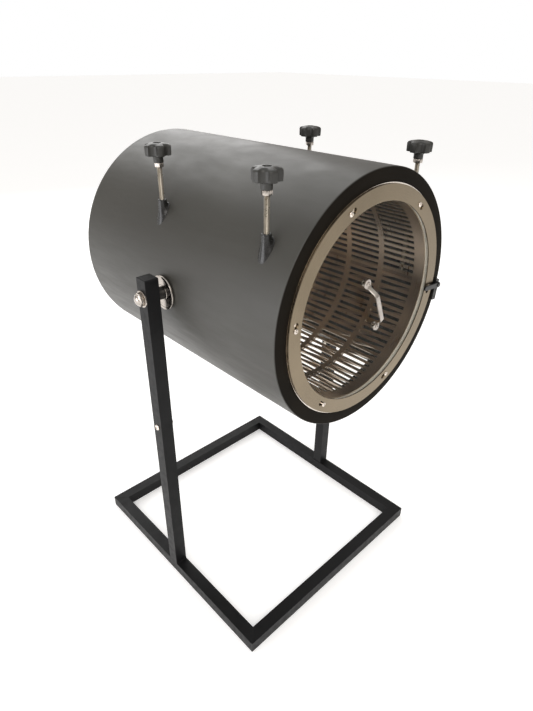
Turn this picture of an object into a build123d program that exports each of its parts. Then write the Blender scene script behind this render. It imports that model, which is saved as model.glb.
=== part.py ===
from build123d import *
import os
from math import asin, cos, degrees, radians, sin, sqrt, tan

# Tilting drum trimmer: a slotted steel drum turns inside a thick black pipe casing, close
# above a half-round cutter grate. The casing hangs on two trunnions in a square-tube stand.
# Millimetres, +Z up, the door faces -Y. The origin is on the floor, in the middle of the
# whole footprint. Depths are measured backwards from the casing's front face.

# ---------------------------------------------------------------- stand
base_depth = 620.0
tube_size = 30.0
tube_wall = 2.0
vent_hole_radius = 3.0
post_above_axis = 37.0
post_joint_height = 505.0
post_bolt_drop = 30.0
axis_height = 785.0
spigot_below = 70.0
spigot_above = 60.0
spigot_clearance = 0.2
cap_thickness = 3.0
cap_plug_depth = 15.0
cap_chamfer = 1.0
post_bolt_radius = 4.0
post_bolt_head_radius = 7.0
post_bolt_head_height = 4.4
post_bolt_head_fillet = 2.64
post_nut_flats = 13.0
post_nut_height = 6.5

# ---------------------------------------------------------------- casing
casing_radius = 250.0
casing_wall = 28.0
casing_length = 620.0
outlet_half_angle = 33.0
outlet_front_depth = 60.0
outlet_rear_margin = 8.0
casing_edge_fillet = 2.0
drive_space = 243.0

# ---------------------------------------------------------------- trunnions
trunnion_radius = 8.0
trunnion_head_radius = 13.0
trunnion_head_height = 6.0
trunnion_head_sink = 2.0
saddle_radius = 28.0
saddle_thickness = 2.0
trunnion_disc_radius = 35.0
trunnion_disc_thickness = 4.0
post_gap = 14.0
bush_outer_radius = 10.0
bush_collar_radius = 12.5
bush_face_gap = 0.3
running_clearance = 0.05
washer_radius = 17.0
washer_thickness = 3.0
cap_nut_flats = 24.0
cap_nut_height = 8.0
cap_nut_dome_radius = 10.0
cap_nut_dome_height = 5.0
cap_nut_dome_fillet = 4.0

# ---------------------------------------------------------------- drum
drum_wall = 2.0
drum_front_depth = 6.0
drum_rear_band = 17.0
drum_bulkhead_gap = 8.0
slots_round = 88
slot_width = 7.2
slot_first_depth = 30.0
slot_rib = 13.0
slot_bands = 4
drum_plate_thickness = 3.0
drum_hub_radius = 26.0
drum_hub_length = 22.0
drum_hub_fillet = 2.0
drum_shaft_radius = 10.0

# ---------------------------------------------------------------- cutter grate
grate_wall_gap = 20.0
grate_gap = 2.0
grate_thickness = 3.0
grate_edge_drop = 2.4
grate_opening_angle = 6.2
grate_openings_round = 21
grate_skew_angle = 3.4
grate_end_margin = 7.0
lug_edge = 9.0
lug_length = 18.0
lug_height = 12.0
lug_top_drop = 1.0

# ---------------------------------------------------------------- adjusting rods
rod_radius = 5.0
rod_wall_gap = 15.0
rod_front_depth = 66.0
rod_rear_margin = 21.0
rod_seat_depth = 9.0
rod_neck_radius = 3.5
rod_neck_drop = 4.0
rod_neck_length = 3.0
rod_pin_radius = 1.2
rod_pin_clearance = 0.2
rod_wall_clearance = 0.6
boss_radius = 8.5
boss_stand = 25.0
boss_sink = 20.0
locknut_flats = 16.0
locknut_height = 8.0
locknut_stand = 84.0
knob_neck_length = 12.0
knob_neck_radius = 9.5
knob_radius = 25.0
knob_head_height = 22.0
knob_lobes = 5
knob_flute_radius = 9.5
knob_flute_centre = 27.5
knob_edge_fillet = 3.0
knob_rod_grip = 20.0

# ---------------------------------------------------------------- door
mouth_ring_length = 20.0
mouth_step_depth = 2.0
mouth_ring_clearance = 0.5
flange_overlap = 2.0
flange_thickness = 1.5
gasket_edge = 1.5
gasket_width = 5.5
gasket_thickness = 1.0
lid_gap = 0.2
lid_edge = 2.0
lid_bore_step = 3.5
lid_thickness = 2.0
pane_overlap = 4.5
pane_clearance = 1.0
pane_thickness = 4.0
screw_wall_gap = 15.0
screw_count = 6
screw_first_angle = -5.0
screw_radius = 2.5
screw_head_radius = 4.75
screw_head_height = 2.8
screw_head_fillet = 1.96
screw_head_gap = 0.2
keyhole_travel = 10.0
keyhole_clearance = 0.3
keyhole_head_clearance = 0.5

# ---------------------------------------------------------------- handle
handle_centres = 110.0
handle_lean = 24.4
handle_offset_x = 2.5
handle_eye_radius = 9.5
handle_bar_width = 9.0
handle_bar_thickness = 4.5
handle_rise = 20.0
handle_leg_run = 22.0
handle_bend_radius = 2.7
handle_screw_radius = 2.5
handle_screw_head_radius = 4.6
handle_screw_head_height = 2.4
handle_screw_head_fillet = 1.68
handle_nut_flats = 8.0
handle_nut_height = 4.0
handle_washer_radius = 7.0
handle_washer_thickness = 1.2

# ---------------------------------------------------------------- latch
latch_angle = -5.0
latch_rim_gap = 12.0
latch_base_length = 46.0
latch_base_width = 13.0
latch_base_drop = 12.0
latch_clearance = 0.4
latch_finger_width = 10.0
latch_finger_thickness = 4.0
latch_finger_reach = 52.0
latch_pin_radius = 2.5
latch_pin_head_radius = 4.5
latch_pin_head_height = 1.5
latch_pin_sink = 12.0
latch_screw_radius = 1.8
latch_screw_sink = 1.0
latch_screw_drops = (12.0, 28.0)
latch_base_fillet = 1.2

# ---------------------------------------------------------------- drive
bulkhead_thickness = 6.0
bulkhead_hole_radius = 17.0
bearing_radius = 15.0
bearing_width = 9.0
housing_radius = 34.0
housing_length = 16.0
housing_fillet = 2.0
coupler_radius = 14.0
coupler_length = 26.0
coupler_gap = 2.0
motor_shaft_radius = 6.0
motor_shaft_grip = 12.0
motor_plate_stand = 56.0
motor_plate_size = 110.0
motor_plate_thickness = 4.0
motor_plate_hole_radius = 15.0
pillar_radius = 5.0
pillar_spacing = 88.0
gearbox_size = 80.0
gearbox_length = 38.0
gearbox_fillet = 6.0
motor_radius = 34.0
motor_length = 84.0
motor_edge_fillet = 4.0

# ---------------------------------------------------------------- rear cover
cover_edge = 12.0
cover_thickness = 3.0
cover_screw_edge = 20.0
cover_screw_count = 6
cover_screw_radius = 2.0
cover_screw_head_radius = 3.8
cover_screw_head_height = 2.2
cover_screw_head_fillet = 1.54
cover_screw_length = 18.0
vent_slot_count = 12
vent_slot_width = 6.0
vent_slot_length = 40.0
vent_slot_circle = 120.0
switch_x = 42.0
inlet_x = -42.0
socket_wall_gap = 47.0
inlet_width = 30.0
inlet_height = 24.0
inlet_body_depth = 22.0
inlet_lip = 3.0
inlet_lip_thickness = 1.5
inlet_well_width = 24.0
inlet_well_height = 16.0
inlet_well_depth = 15.0
switch_width = 16.0
switch_height = 26.0
switch_wall = 2.0
switch_depth = 14.0
switch_key_clearance = 0.4
switch_key_half_thickness = 3.0
switch_key_tilt = 7.0
switch_pin_radius = 1.5

# ---------------------------------------------------------------- worked out
disc_inner_x = casing_radius + saddle_thickness
disc_outer_x = disc_inner_x + trunnion_disc_thickness
post_inner_x = disc_outer_x + post_gap
base_width = 2 * (post_inner_x + tube_size)
post_x = (base_width - tube_size) / 2
post_top = axis_height + post_above_axis
tube_bore = tube_size - 2 * tube_wall
casing_bore_radius = casing_radius - casing_wall
grate_outer_radius = casing_bore_radius - grate_wall_gap
grate_inner_radius = grate_outer_radius - grate_thickness
drum_radius = grate_inner_radius - grate_gap
drum_bore_radius = drum_radius - drum_wall
slots_end_depth = casing_length - drive_space
slot_pitch_depth = (slots_end_depth - slot_first_depth + slot_rib) / slot_bands
slot_length = slot_pitch_depth - slot_rib
outlet_rear_depth = slots_end_depth + outlet_rear_margin
drum_rear_depth = slots_end_depth + drum_rear_band
bulkhead_depth = drum_rear_depth + drum_bulkhead_gap
motor_plate_depth = bulkhead_depth + motor_plate_stand
rod_x = casing_bore_radius - rod_wall_gap
rod_rear_depth = slots_end_depth - rod_rear_margin
lug_outer_x = rod_x + lug_edge
# height of the casing's surface beside a rod, to the nearest millimetre
rod_surface_height = round(sqrt(casing_radius**2 - rod_x**2))
boss_top = rod_surface_height + boss_stand
boss_root = rod_surface_height - boss_sink
locknut_bottom = rod_surface_height + locknut_stand
flange_radius = casing_bore_radius + flange_overlap
lid_radius = flange_radius - lid_edge
lid_bore_radius = drum_radius - lid_bore_step
pane_radius = lid_bore_radius + pane_overlap
flange_bore_radius = pane_radius + pane_clearance
gasket_outer_radius = lid_radius - gasket_edge
gasket_inner_radius = gasket_outer_radius - gasket_width
screw_circle_radius = casing_bore_radius - screw_wall_gap
latch_pivot_radius = casing_radius - latch_rim_gap
cover_radius = casing_radius - cover_edge
cover_screw_circle = casing_radius - cover_screw_edge
socket_drop = casing_bore_radius - socket_wall_gap
lid_back = flange_thickness + gasket_thickness + lid_gap
lid_face = lid_back + lid_thickness
key_half_height = switch_height / 2 - switch_key_clearance
key_reach = key_half_height * sin(radians(switch_key_tilt)) + switch_key_half_thickness
front_reach = casing_length / 2 + lid_back + handle_rise + handle_bar_thickness / 2
rear_reach = casing_length / 2 + cover_thickness + key_reach
centre_y = (front_reach - rear_reach) / 2
front_y = centre_y - casing_length / 2
post_bolt_height = post_joint_height - post_bolt_drop
latch_screw_points = [(latch_pivot_radius, -drop) for drop in latch_screw_drops]
sides = (-1, 1)
rod_places = {
    "front_left": (-rod_x, rod_front_depth),
    "front_right": (rod_x, rod_front_depth),
    "rear_left": (-rod_x, rod_rear_depth),
    "rear_right": (rod_x, rod_rear_depth),
}

os.makedirs("parts", exist_ok=True)


def front_plane(depth, turn=0.0):
    """Plane across the drum axis at a depth, local x to +X and y up, turned about the axis."""
    across = (cos(radians(turn)), 0, sin(radians(turn)))
    return Plane(origin=(0, front_y + depth, axis_height), x_dir=across, z_dir=(0, -1, 0))


def side_plane(x, height):
    """Plane facing +X at a place on the mid-plane of the stand, local x to +Y and y up."""
    return Plane(origin=(x, centre_y, height), x_dir=(0, 1, 0), z_dir=(1, 0, 0))


def floor_plane(height, x=0.0, depth=casing_length / 2):
    """Level plane at a height, over a point given by its x and its depth."""
    return Plane(origin=(x, front_y + depth, height), x_dir=(1, 0, 0), z_dir=(0, 0, 1))


def radial_plane(depth, angle, radius):
    """Plane that touches a cylinder round the drum axis: local x along the arc, y backwards."""
    axis_out = (cos(radians(angle)), 0, sin(radians(angle)))
    along_arc = (sin(radians(angle)), 0, -cos(radians(angle)))
    origin = (radius * axis_out[0], front_y + depth, axis_height + radius * axis_out[2])
    return Plane(origin=origin, x_dir=along_arc, z_dir=axis_out)


def finish(piece, node):
    """Label a finished piece and write its STEP file."""
    piece.part.label = node
    export_step(piece.part, f"parts/{node}.step")


def ring(depth, thickness, outer, inner, screw_holes=False):
    """A flat ring round the drum axis, from a depth backwards, with or without lid screw holes."""
    with BuildPart() as made:
        with BuildSketch(front_plane(depth)):
            Circle(outer)
            Circle(inner, mode=Mode.SUBTRACT)
            if screw_holes:
                with PolarLocations(screw_circle_radius, screw_count, start_angle=screw_first_angle):
                    Circle(screw_radius, mode=Mode.SUBTRACT)
        extrude(amount=-thickness)
    return made


def screw_angles():
    """Angles of the lid screws round the door."""
    return [screw_first_angle + k * 360 / screw_count for k in range(screw_count)]


# ================================================================ stand
with BuildPart() as base_frame:
    with BuildSketch(floor_plane(0)):
        Rectangle(base_width, base_depth)
        Rectangle(base_width - 2 * tube_size, base_depth - 2 * tube_size, mode=Mode.SUBTRACT)
    extrude(amount=tube_size)
    with BuildSketch(floor_plane(tube_wall)):
        Rectangle(base_width - 2 * tube_wall, base_depth - 2 * tube_wall)
        Rectangle(
            base_width - 2 * (tube_size - tube_wall),
            base_depth - 2 * (tube_size - tube_wall),
            mode=Mode.SUBTRACT,
        )
    extrude(amount=tube_bore, mode=Mode.SUBTRACT)
    with BuildSketch(floor_plane(0)):
        with GridLocations(base_width - tube_size, base_depth - tube_size, 2, 2):
            Circle(vent_hole_radius)
    extrude(amount=tube_wall, mode=Mode.SUBTRACT)
finish(base_frame, "base_frame")

with BuildPart() as lower_posts:
    for side in sides:
        with BuildSketch(floor_plane(tube_size, side * post_x)):
            Rectangle(tube_size, tube_size)
            Rectangle(tube_bore, tube_bore, mode=Mode.SUBTRACT)
        extrude(amount=post_joint_height - tube_size)
    with BuildSketch(side_plane(0, post_bolt_height)):
        Circle(post_bolt_radius)
    extrude(amount=base_width, both=True, mode=Mode.SUBTRACT)
finish(lower_posts, "lower_posts")

with BuildPart() as upper_posts:
    for side in sides:
        with BuildSketch(floor_plane(post_joint_height, side * post_x)):
            Rectangle(tube_size, tube_size)
            Rectangle(tube_bore, tube_bore, mode=Mode.SUBTRACT)
        extrude(amount=post_top - post_joint_height)
    with BuildSketch(side_plane(0, axis_height)):
        Circle(bush_outer_radius)
    extrude(amount=base_width, both=True, mode=Mode.SUBTRACT)
finish(upper_posts, "upper_posts")

with BuildPart() as post_spigots:
    for side in sides:
        with BuildSketch(floor_plane(post_joint_height - spigot_below, side * post_x)):
            Rectangle(tube_bore - 2 * spigot_clearance, tube_bore - 2 * spigot_clearance)
            Rectangle(tube_bore - 2 * tube_wall, tube_bore - 2 * tube_wall, mode=Mode.SUBTRACT)
        extrude(amount=spigot_below + spigot_above)
    with BuildSketch(side_plane(0, post_bolt_height)):
        Circle(post_bolt_radius)
    extrude(amount=base_width / 2, both=True, mode=Mode.SUBTRACT)
finish(post_spigots, "post_spigots")

with BuildPart() as post_caps:
    for side in sides:
        with BuildSketch(floor_plane(post_top, side * post_x)):
            Rectangle(tube_size, tube_size)
        extrude(amount=cap_thickness)
        with BuildSketch(floor_plane(post_top, side * post_x)):
            Rectangle(tube_bore, tube_bore)
            Rectangle(tube_bore - 2 * tube_wall, tube_bore - 2 * tube_wall, mode=Mode.SUBTRACT)
        extrude(amount=-cap_plug_depth)
    chamfer(post_caps.faces().group_by(Axis.Z)[-1].edges(), cap_chamfer)
finish(post_caps, "post_caps")

with BuildPart() as post_joint_bolts:
    for side in sides:
        with BuildSketch(side_plane(side * base_width / 2, post_bolt_height)):
            Circle(post_bolt_head_radius)
        extrude(amount=side * post_bolt_head_height)
        with BuildSketch(side_plane(side * base_width / 2, post_bolt_height)):
            Circle(post_bolt_radius)
        extrude(amount=-side * (tube_size + post_nut_height))
    fillet(
        post_joint_bolts.edges().filter_by(GeomType.CIRCLE).group_by(lambda e: abs(e.center().X))[-1],
        post_bolt_head_fillet,
    )
finish(post_joint_bolts, "post_joint_bolts")

with BuildPart() as post_joint_nuts:
    for side in sides:
        with BuildSketch(side_plane(side * post_inner_x, post_bolt_height)):
            RegularPolygon(post_nut_flats / 2, 6, major_radius=False)
            Circle(post_bolt_radius, mode=Mode.SUBTRACT)
        extrude(amount=-side * post_nut_height)
finish(post_joint_nuts, "post_joint_nuts")

# ================================================================ trunnions
washer_x = base_width / 2 + bush_face_gap
nut_x = washer_x + washer_thickness

with BuildPart() as pivot_bushes:
    for side in sides:
        collar_x = disc_outer_x + bush_face_gap
        with BuildSketch(side_plane(side * collar_x, axis_height)):
            Circle(bush_collar_radius)
        extrude(amount=side * (post_inner_x - collar_x))
        with BuildSketch(side_plane(side * post_inner_x, axis_height)):
            Circle(bush_outer_radius)
        extrude(amount=side * tube_size)
    with BuildSketch(side_plane(0, axis_height)):
        Circle(trunnion_radius + running_clearance)
    extrude(amount=base_width, both=True, mode=Mode.SUBTRACT)
finish(pivot_bushes, "pivot_bushes")

with BuildPart() as trunnion_saddles:
    for side in sides:
        with BuildSketch(side_plane(side * disc_inner_x, axis_height)):
            Circle(saddle_radius)
            Circle(trunnion_radius, mode=Mode.SUBTRACT)
        extrude(amount=-side * casing_wall / 2)
    with BuildSketch(front_plane(0)):
        Circle(casing_radius)
    extrude(amount=-casing_length, mode=Mode.SUBTRACT)
finish(trunnion_saddles, "trunnion_saddles")

with BuildPart() as trunnion_discs:
    for side in sides:
        with BuildSketch(side_plane(side * disc_inner_x, axis_height)):
            Circle(trunnion_disc_radius)
            Circle(trunnion_radius, mode=Mode.SUBTRACT)
        extrude(amount=side * trunnion_disc_thickness)
finish(trunnion_discs, "trunnion_discs")

pocket_floor_x = casing_bore_radius + trunnion_head_height + trunnion_head_sink
with BuildPart() as trunnion_bolts:
    for side in sides:
        with BuildSketch(side_plane(side * pocket_floor_x, axis_height)):
            Circle(trunnion_head_radius)
        extrude(amount=-side * trunnion_head_height)
        with BuildSketch(side_plane(side * pocket_floor_x, axis_height)):
            Circle(trunnion_radius)
        extrude(amount=side * (nut_x + cap_nut_height - pocket_floor_x))
finish(trunnion_bolts, "trunnion_bolts")

with BuildPart() as pivot_washers:
    for side in sides:
        with BuildSketch(side_plane(side * washer_x, axis_height)):
            Circle(washer_radius)
            Circle(trunnion_radius, mode=Mode.SUBTRACT)
        extrude(amount=side * washer_thickness)
finish(pivot_washers, "pivot_washers")

with BuildPart() as pivot_cap_nuts:
    for side in sides:
        with BuildSketch(side_plane(side * nut_x, axis_height)):
            RegularPolygon(cap_nut_flats / 2, 6, major_radius=False)
            Circle(trunnion_radius, mode=Mode.SUBTRACT)
        extrude(amount=side * cap_nut_height)
        with BuildSketch(side_plane(side * (nut_x + cap_nut_height), axis_height)):
            Circle(cap_nut_dome_radius)
        extrude(amount=side * cap_nut_dome_height)
    fillet(
        pivot_cap_nuts.edges().filter_by(GeomType.CIRCLE).group_by(lambda e: abs(e.center().X))[-1],
        cap_nut_dome_fillet,
    )
finish(pivot_cap_nuts, "pivot_cap_nuts")

# ================================================================ casing
with BuildPart() as casing:
    with BuildSketch(front_plane(0)):
        Circle(casing_radius)
        Circle(casing_bore_radius, mode=Mode.SUBTRACT)
    extrude(amount=-casing_length)
    fillet(casing.edges().filter_by(GeomType.CIRCLE).group_by(lambda e: e.radius)[-1], casing_edge_fillet)
    # discharge outlet under the grate
    outlet_drop = casing_radius + casing_wall
    outlet_half_width = outlet_drop * tan(radians(outlet_half_angle))
    with BuildSketch(front_plane(outlet_front_depth)):
        with BuildLine():
            Polyline(
                (0, 0),
                (outlet_half_width, -outlet_drop),
                (-outlet_half_width, -outlet_drop),
                close=True,
            )
        make_face()
    extrude(amount=-(outlet_rear_depth - outlet_front_depth), mode=Mode.SUBTRACT)
    # holes for the adjusting rods
    for x, depth in rod_places.values():
        with BuildSketch(floor_plane(axis_height, x, depth)):
            Circle(rod_radius + rod_wall_clearance)
        extrude(amount=casing_radius, mode=Mode.SUBTRACT)
    # trunnion bolt holes with pockets for their heads
    with BuildSketch(side_plane(0, axis_height)):
        Circle(trunnion_radius)
    extrude(amount=casing_radius, both=True, mode=Mode.SUBTRACT)
    with BuildSketch(side_plane(0, axis_height)):
        Circle(trunnion_head_radius)
    extrude(amount=pocket_floor_x, both=True, mode=Mode.SUBTRACT)
    # rear cover screws
    with BuildSketch(front_plane(casing_length)):
        with PolarLocations(cover_screw_circle, cover_screw_count):
            Circle(cover_screw_radius)
    extrude(amount=cover_screw_length, mode=Mode.SUBTRACT)
    # latch screws and latch pin
    with BuildSketch(front_plane(0, latch_angle)):
        with Locations((latch_pivot_radius, 0)):
            Circle(latch_pin_radius)
        with Locations(*latch_screw_points):
            Circle(latch_screw_radius)
    extrude(amount=-latch_pin_sink, mode=Mode.SUBTRACT)
finish(casing, "casing_pipe")

with BuildPart() as rod_bosses:
    for x, depth in rod_places.values():
        with BuildSketch(floor_plane(axis_height + boss_root, x, depth)):
            Circle(boss_radius)
        extrude(amount=boss_top - boss_root)
    with BuildSketch(front_plane(0)):
        Circle(casing_radius)
    extrude(amount=-casing_length, mode=Mode.SUBTRACT)
    for x, depth in rod_places.values():
        with BuildSketch(floor_plane(axis_height, x, depth)):
            Circle(rod_radius + running_clearance)
        extrude(amount=casing_radius, mode=Mode.SUBTRACT)
finish(rod_bosses, "rod_bosses")

# ================================================================ door seat
with BuildPart() as mouth_ring:
    with BuildSketch(front_plane(0)):
        Circle(casing_bore_radius)
        Circle(drum_radius + mouth_ring_clearance, mode=Mode.SUBTRACT)
        with PolarLocations(screw_circle_radius, screw_count, start_angle=screw_first_angle):
            Circle(screw_radius, mode=Mode.SUBTRACT)
    extrude(amount=-mouth_ring_length)
    with BuildSketch(front_plane(0)):
        Circle(flange_bore_radius)
    extrude(amount=-mouth_step_depth, mode=Mode.SUBTRACT)
finish(mouth_ring, "mouth_ring")

door_flange = ring(-flange_thickness, flange_thickness, flange_radius, flange_bore_radius, True)
finish(door_flange, "door_flange")

door_gasket = ring(
    -flange_thickness - gasket_thickness,
    gasket_thickness,
    gasket_outer_radius,
    gasket_inner_radius,
)
finish(door_gasket, "door_gasket")

with BuildPart() as lid_screws:
    with BuildSketch(front_plane(-lid_face - screw_head_gap)):
        with PolarLocations(screw_circle_radius, screw_count, start_angle=screw_first_angle):
            Circle(screw_head_radius)
    extrude(amount=screw_head_height)
    fillet(lid_screws.edges().group_by(Axis.Y)[0], screw_head_fillet)
    with BuildSketch(front_plane(-lid_face - screw_head_gap)):
        with PolarLocations(screw_circle_radius, screw_count, start_angle=screw_first_angle):
            Circle(screw_radius)
    extrude(amount=-(lid_face + screw_head_gap + mouth_ring_length))
finish(lid_screws, "lid_screws")

# ================================================================ lid
keyhole_turn = degrees(2 * asin(keyhole_travel / (2 * screw_circle_radius)))
with BuildPart() as lid_ring:
    with BuildSketch(front_plane(-lid_face)):
        Circle(lid_radius)
        Circle(lid_bore_radius, mode=Mode.SUBTRACT)
    extrude(amount=-lid_thickness)
    for angle in screw_angles():
        with BuildSketch(front_plane(-lid_face, angle - keyhole_turn / 2)):
            with Locations((screw_circle_radius * cos(radians(keyhole_turn / 2)), 0)):
                SlotCenterToCenter(keyhole_travel, 2 * (screw_radius + keyhole_clearance), rotation=90)
        with BuildSketch(front_plane(-lid_face, angle - keyhole_turn)):
            with Locations((screw_circle_radius, 0)):
                Circle(screw_head_radius + keyhole_head_clearance)
        extrude(amount=-lid_thickness, mode=Mode.SUBTRACT)
finish(lid_ring, "lid_ring")


def handle_plane(depth):
    """Plane on the window, centred on the handle, local y along the line between its eyes."""
    across = (cos(radians(handle_lean)), 0, sin(radians(handle_lean)))
    return Plane(origin=(handle_offset_x, front_y + depth, axis_height), x_dir=across, z_dir=(0, -1, 0))


with BuildPart() as window_pane:
    with BuildSketch(front_plane(-lid_back)):
        Circle(pane_radius)
    extrude(amount=-pane_thickness)
    with BuildSketch(handle_plane(-lid_back)):
        with GridLocations(0, handle_centres, 1, 2):
            Circle(handle_screw_radius)
    extrude(amount=-pane_thickness, mode=Mode.SUBTRACT)
finish(window_pane, "window_pane")

handle_mid = handle_plane(-lid_back)
bow_plane = Plane(origin=handle_mid.origin, x_dir=handle_mid.y_dir, z_dir=handle_mid.x_dir)
leg_out = handle_centres / 2
leg_in = leg_out - handle_leg_run
foot_mid = handle_bar_thickness / 2
with BuildPart() as handle:
    with BuildSketch(bow_plane):
        with BuildLine():
            FilletPolyline(
                (-leg_out + handle_screw_head_radius, foot_mid),
                (-leg_out + handle_eye_radius, foot_mid),
                (-leg_in, handle_rise),
                (leg_in, handle_rise),
                (leg_out - handle_eye_radius, foot_mid),
                (leg_out - handle_screw_head_radius, foot_mid),
                radius=handle_bend_radius,
            )
        trace(line_width=handle_bar_thickness)
    extrude(amount=handle_bar_width / 2, both=True)
    with BuildSketch(handle_plane(-lid_back)):
        with GridLocations(0, handle_centres, 1, 2):
            Circle(handle_eye_radius)
    extrude(amount=handle_bar_thickness)
    with BuildSketch(handle_plane(-lid_back)):
        with GridLocations(0, handle_centres, 1, 2):
            Circle(handle_screw_radius)
    extrude(amount=handle_rise, mode=Mode.SUBTRACT)
finish(handle, "handle")

with BuildPart() as handle_screws:
    with BuildSketch(handle_plane(-lid_back - handle_bar_thickness)):
        with GridLocations(0, handle_centres, 1, 2):
            Circle(handle_screw_head_radius)
    extrude(amount=handle_screw_head_height)
    fillet(handle_screws.edges().group_by(Axis.Y)[0], handle_screw_head_fillet)
    with BuildSketch(handle_plane(-lid_back - handle_bar_thickness)):
        with GridLocations(0, handle_centres, 1, 2):
            Circle(handle_screw_radius)
    extrude(amount=-(handle_bar_thickness + pane_thickness + handle_washer_thickness + handle_nut_height))
finish(handle_screws, "handle_screws")

with BuildPart() as handle_washers:
    with BuildSketch(handle_plane(pane_thickness - lid_back)):
        with GridLocations(0, handle_centres, 1, 2):
            Circle(handle_washer_radius)
            Circle(handle_screw_radius, mode=Mode.SUBTRACT)
    extrude(amount=-handle_washer_thickness)
finish(handle_washers, "handle_washers")

with BuildPart() as handle_nuts:
    with BuildSketch(handle_plane(pane_thickness - lid_back + handle_washer_thickness)):
        with GridLocations(0, handle_centres, 1, 2):
            RegularPolygon(handle_nut_flats / 2, 6, major_radius=False)
            Circle(handle_screw_radius, mode=Mode.SUBTRACT)
    extrude(amount=-handle_nut_height)
finish(handle_nuts, "handle_nuts")

# ================================================================ latch
latch_floor = lid_face + screw_head_gap + screw_head_height + latch_clearance
base_top = latch_floor - latch_clearance

with BuildPart() as latch_base:
    with BuildSketch(front_plane(0, latch_angle)):
        with Locations((latch_pivot_radius, -latch_base_drop)):
            RectangleRounded(latch_base_width, latch_base_length, latch_base_fillet)
        with Locations((latch_pivot_radius, 0)):
            Circle(latch_pin_radius, mode=Mode.SUBTRACT)
        with Locations(*latch_screw_points):
            Circle(latch_screw_radius, mode=Mode.SUBTRACT)
    extrude(amount=base_top)
finish(latch_base, "latch_base")

with BuildPart() as latch_screws:
    with BuildSketch(front_plane(latch_pin_sink, latch_angle)):
        with Locations(*latch_screw_points):
            Circle(latch_screw_radius)
    extrude(amount=latch_pin_sink + base_top - latch_screw_sink)
finish(latch_screws, "latch_screws")

with BuildPart() as latch_pin:
    with BuildSketch(front_plane(-latch_floor - latch_finger_thickness - lid_gap, latch_angle)):
        with Locations((latch_pivot_radius, 0)):
            Circle(latch_pin_head_radius)
    extrude(amount=latch_pin_head_height)
    with BuildSketch(front_plane(-latch_floor - latch_finger_thickness - lid_gap, latch_angle)):
        with Locations((latch_pivot_radius, 0)):
            Circle(latch_pin_radius)
    extrude(amount=-(latch_floor + latch_finger_thickness + lid_gap + latch_pin_sink))
finish(latch_pin, "latch_pin")

with BuildPart() as latch_finger:
    with BuildSketch(front_plane(-latch_floor, latch_angle)):
        with Locations((latch_pivot_radius - latch_finger_reach / 2, 0)):
            SlotCenterToCenter(latch_finger_reach - latch_finger_width / 2, latch_finger_width)
        with Locations((latch_pivot_radius, 0)):
            Circle(latch_finger_width / 2 + latch_base_fillet)
            Circle(latch_pin_radius + running_clearance, mode=Mode.SUBTRACT)
    extrude(amount=latch_finger_thickness)
finish(latch_finger, "latch_finger")

# ================================================================ drum
slot_step = 360 / slots_round


def band_depth(band):
    """Depth of the middle of a band of slots."""
    return slot_first_depth + slot_length / 2 + band * slot_pitch_depth


first_band_depth = slot_first_depth - slot_rib / 2
last_band_end = first_band_depth + slot_bands * slot_pitch_depth
with BuildPart() as slot_band:
    with BuildSketch(front_plane(first_band_depth)):
        Circle(drum_radius)
        Circle(drum_bore_radius, mode=Mode.SUBTRACT)
    extrude(amount=-slot_pitch_depth)
    slot_planes = [
        radial_plane(band_depth(0), (slot + 0.5) * slot_step, drum_radius - drum_wall / 2)
        for slot in range(slots_round)
    ]
    with BuildSketch(*slot_planes):
        Rectangle(slot_width, slot_length)
    extrude(amount=drum_wall, both=True, mode=Mode.SUBTRACT)

with BuildPart() as drum_shell:
    with BuildSketch(front_plane(drum_front_depth)):
        Circle(drum_radius)
        Circle(drum_bore_radius, mode=Mode.SUBTRACT)
    extrude(amount=-(first_band_depth - drum_front_depth))
    # each band of slots is turned half a slot from the next
    to_axis = Pos(Z=axis_height)
    for band in range(slot_bands):
        band_turn = Rot(Y=band % 2 * slot_step / 2)
        with Locations(Pos(Y=band * slot_pitch_depth) * to_axis * band_turn * to_axis.inverse()):
            add(slot_band.part, clean=False)
    with BuildSketch(front_plane(last_band_end)):
        Circle(drum_radius)
        Circle(drum_bore_radius, mode=Mode.SUBTRACT)
    extrude(amount=-(drum_rear_depth - last_band_end))
finish(drum_shell, "drum_shell")

drum_plate_depth = slots_end_depth + grate_end_margin
with BuildPart() as drum_plate:
    with BuildSketch(front_plane(drum_plate_depth)):
        Circle(drum_bore_radius)
        Circle(drum_shaft_radius, mode=Mode.SUBTRACT)
    extrude(amount=-drum_plate_thickness)
finish(drum_plate, "drum_end_plate")

hub_depth = drum_plate_depth - drum_hub_length
with BuildPart() as drum_hub:
    with BuildSketch(front_plane(hub_depth)):
        Circle(drum_hub_radius)
    extrude(amount=-drum_hub_length)
    fillet(drum_hub.edges().group_by(Axis.Y)[0], drum_hub_fillet)
    with BuildSketch(front_plane(hub_depth + drum_hub_length)):
        Circle(drum_shaft_radius)
    extrude(amount=drum_hub_length - drum_plate_thickness, mode=Mode.SUBTRACT)
finish(drum_hub, "drum_hub")

coupler_depth = motor_plate_depth - coupler_gap - coupler_length
motor_shaft_front = coupler_depth + coupler_length - motor_shaft_grip
with BuildPart() as drum_shaft:
    with BuildSketch(front_plane(hub_depth + drum_plate_thickness)):
        Circle(drum_shaft_radius)
    extrude(amount=-(motor_shaft_front - hub_depth - drum_plate_thickness))
finish(drum_shaft, "drum_shaft")

with BuildPart() as shaft_coupler:
    with BuildSketch(front_plane(coupler_depth)):
        Circle(coupler_radius)
        Circle(drum_shaft_radius, mode=Mode.SUBTRACT)
    extrude(amount=-(coupler_length - motor_shaft_grip))
    with BuildSketch(front_plane(motor_shaft_front)):
        Circle(coupler_radius)
        Circle(motor_shaft_radius, mode=Mode.SUBTRACT)
    extrude(amount=-motor_shaft_grip)
finish(shaft_coupler, "shaft_coupler")

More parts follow.
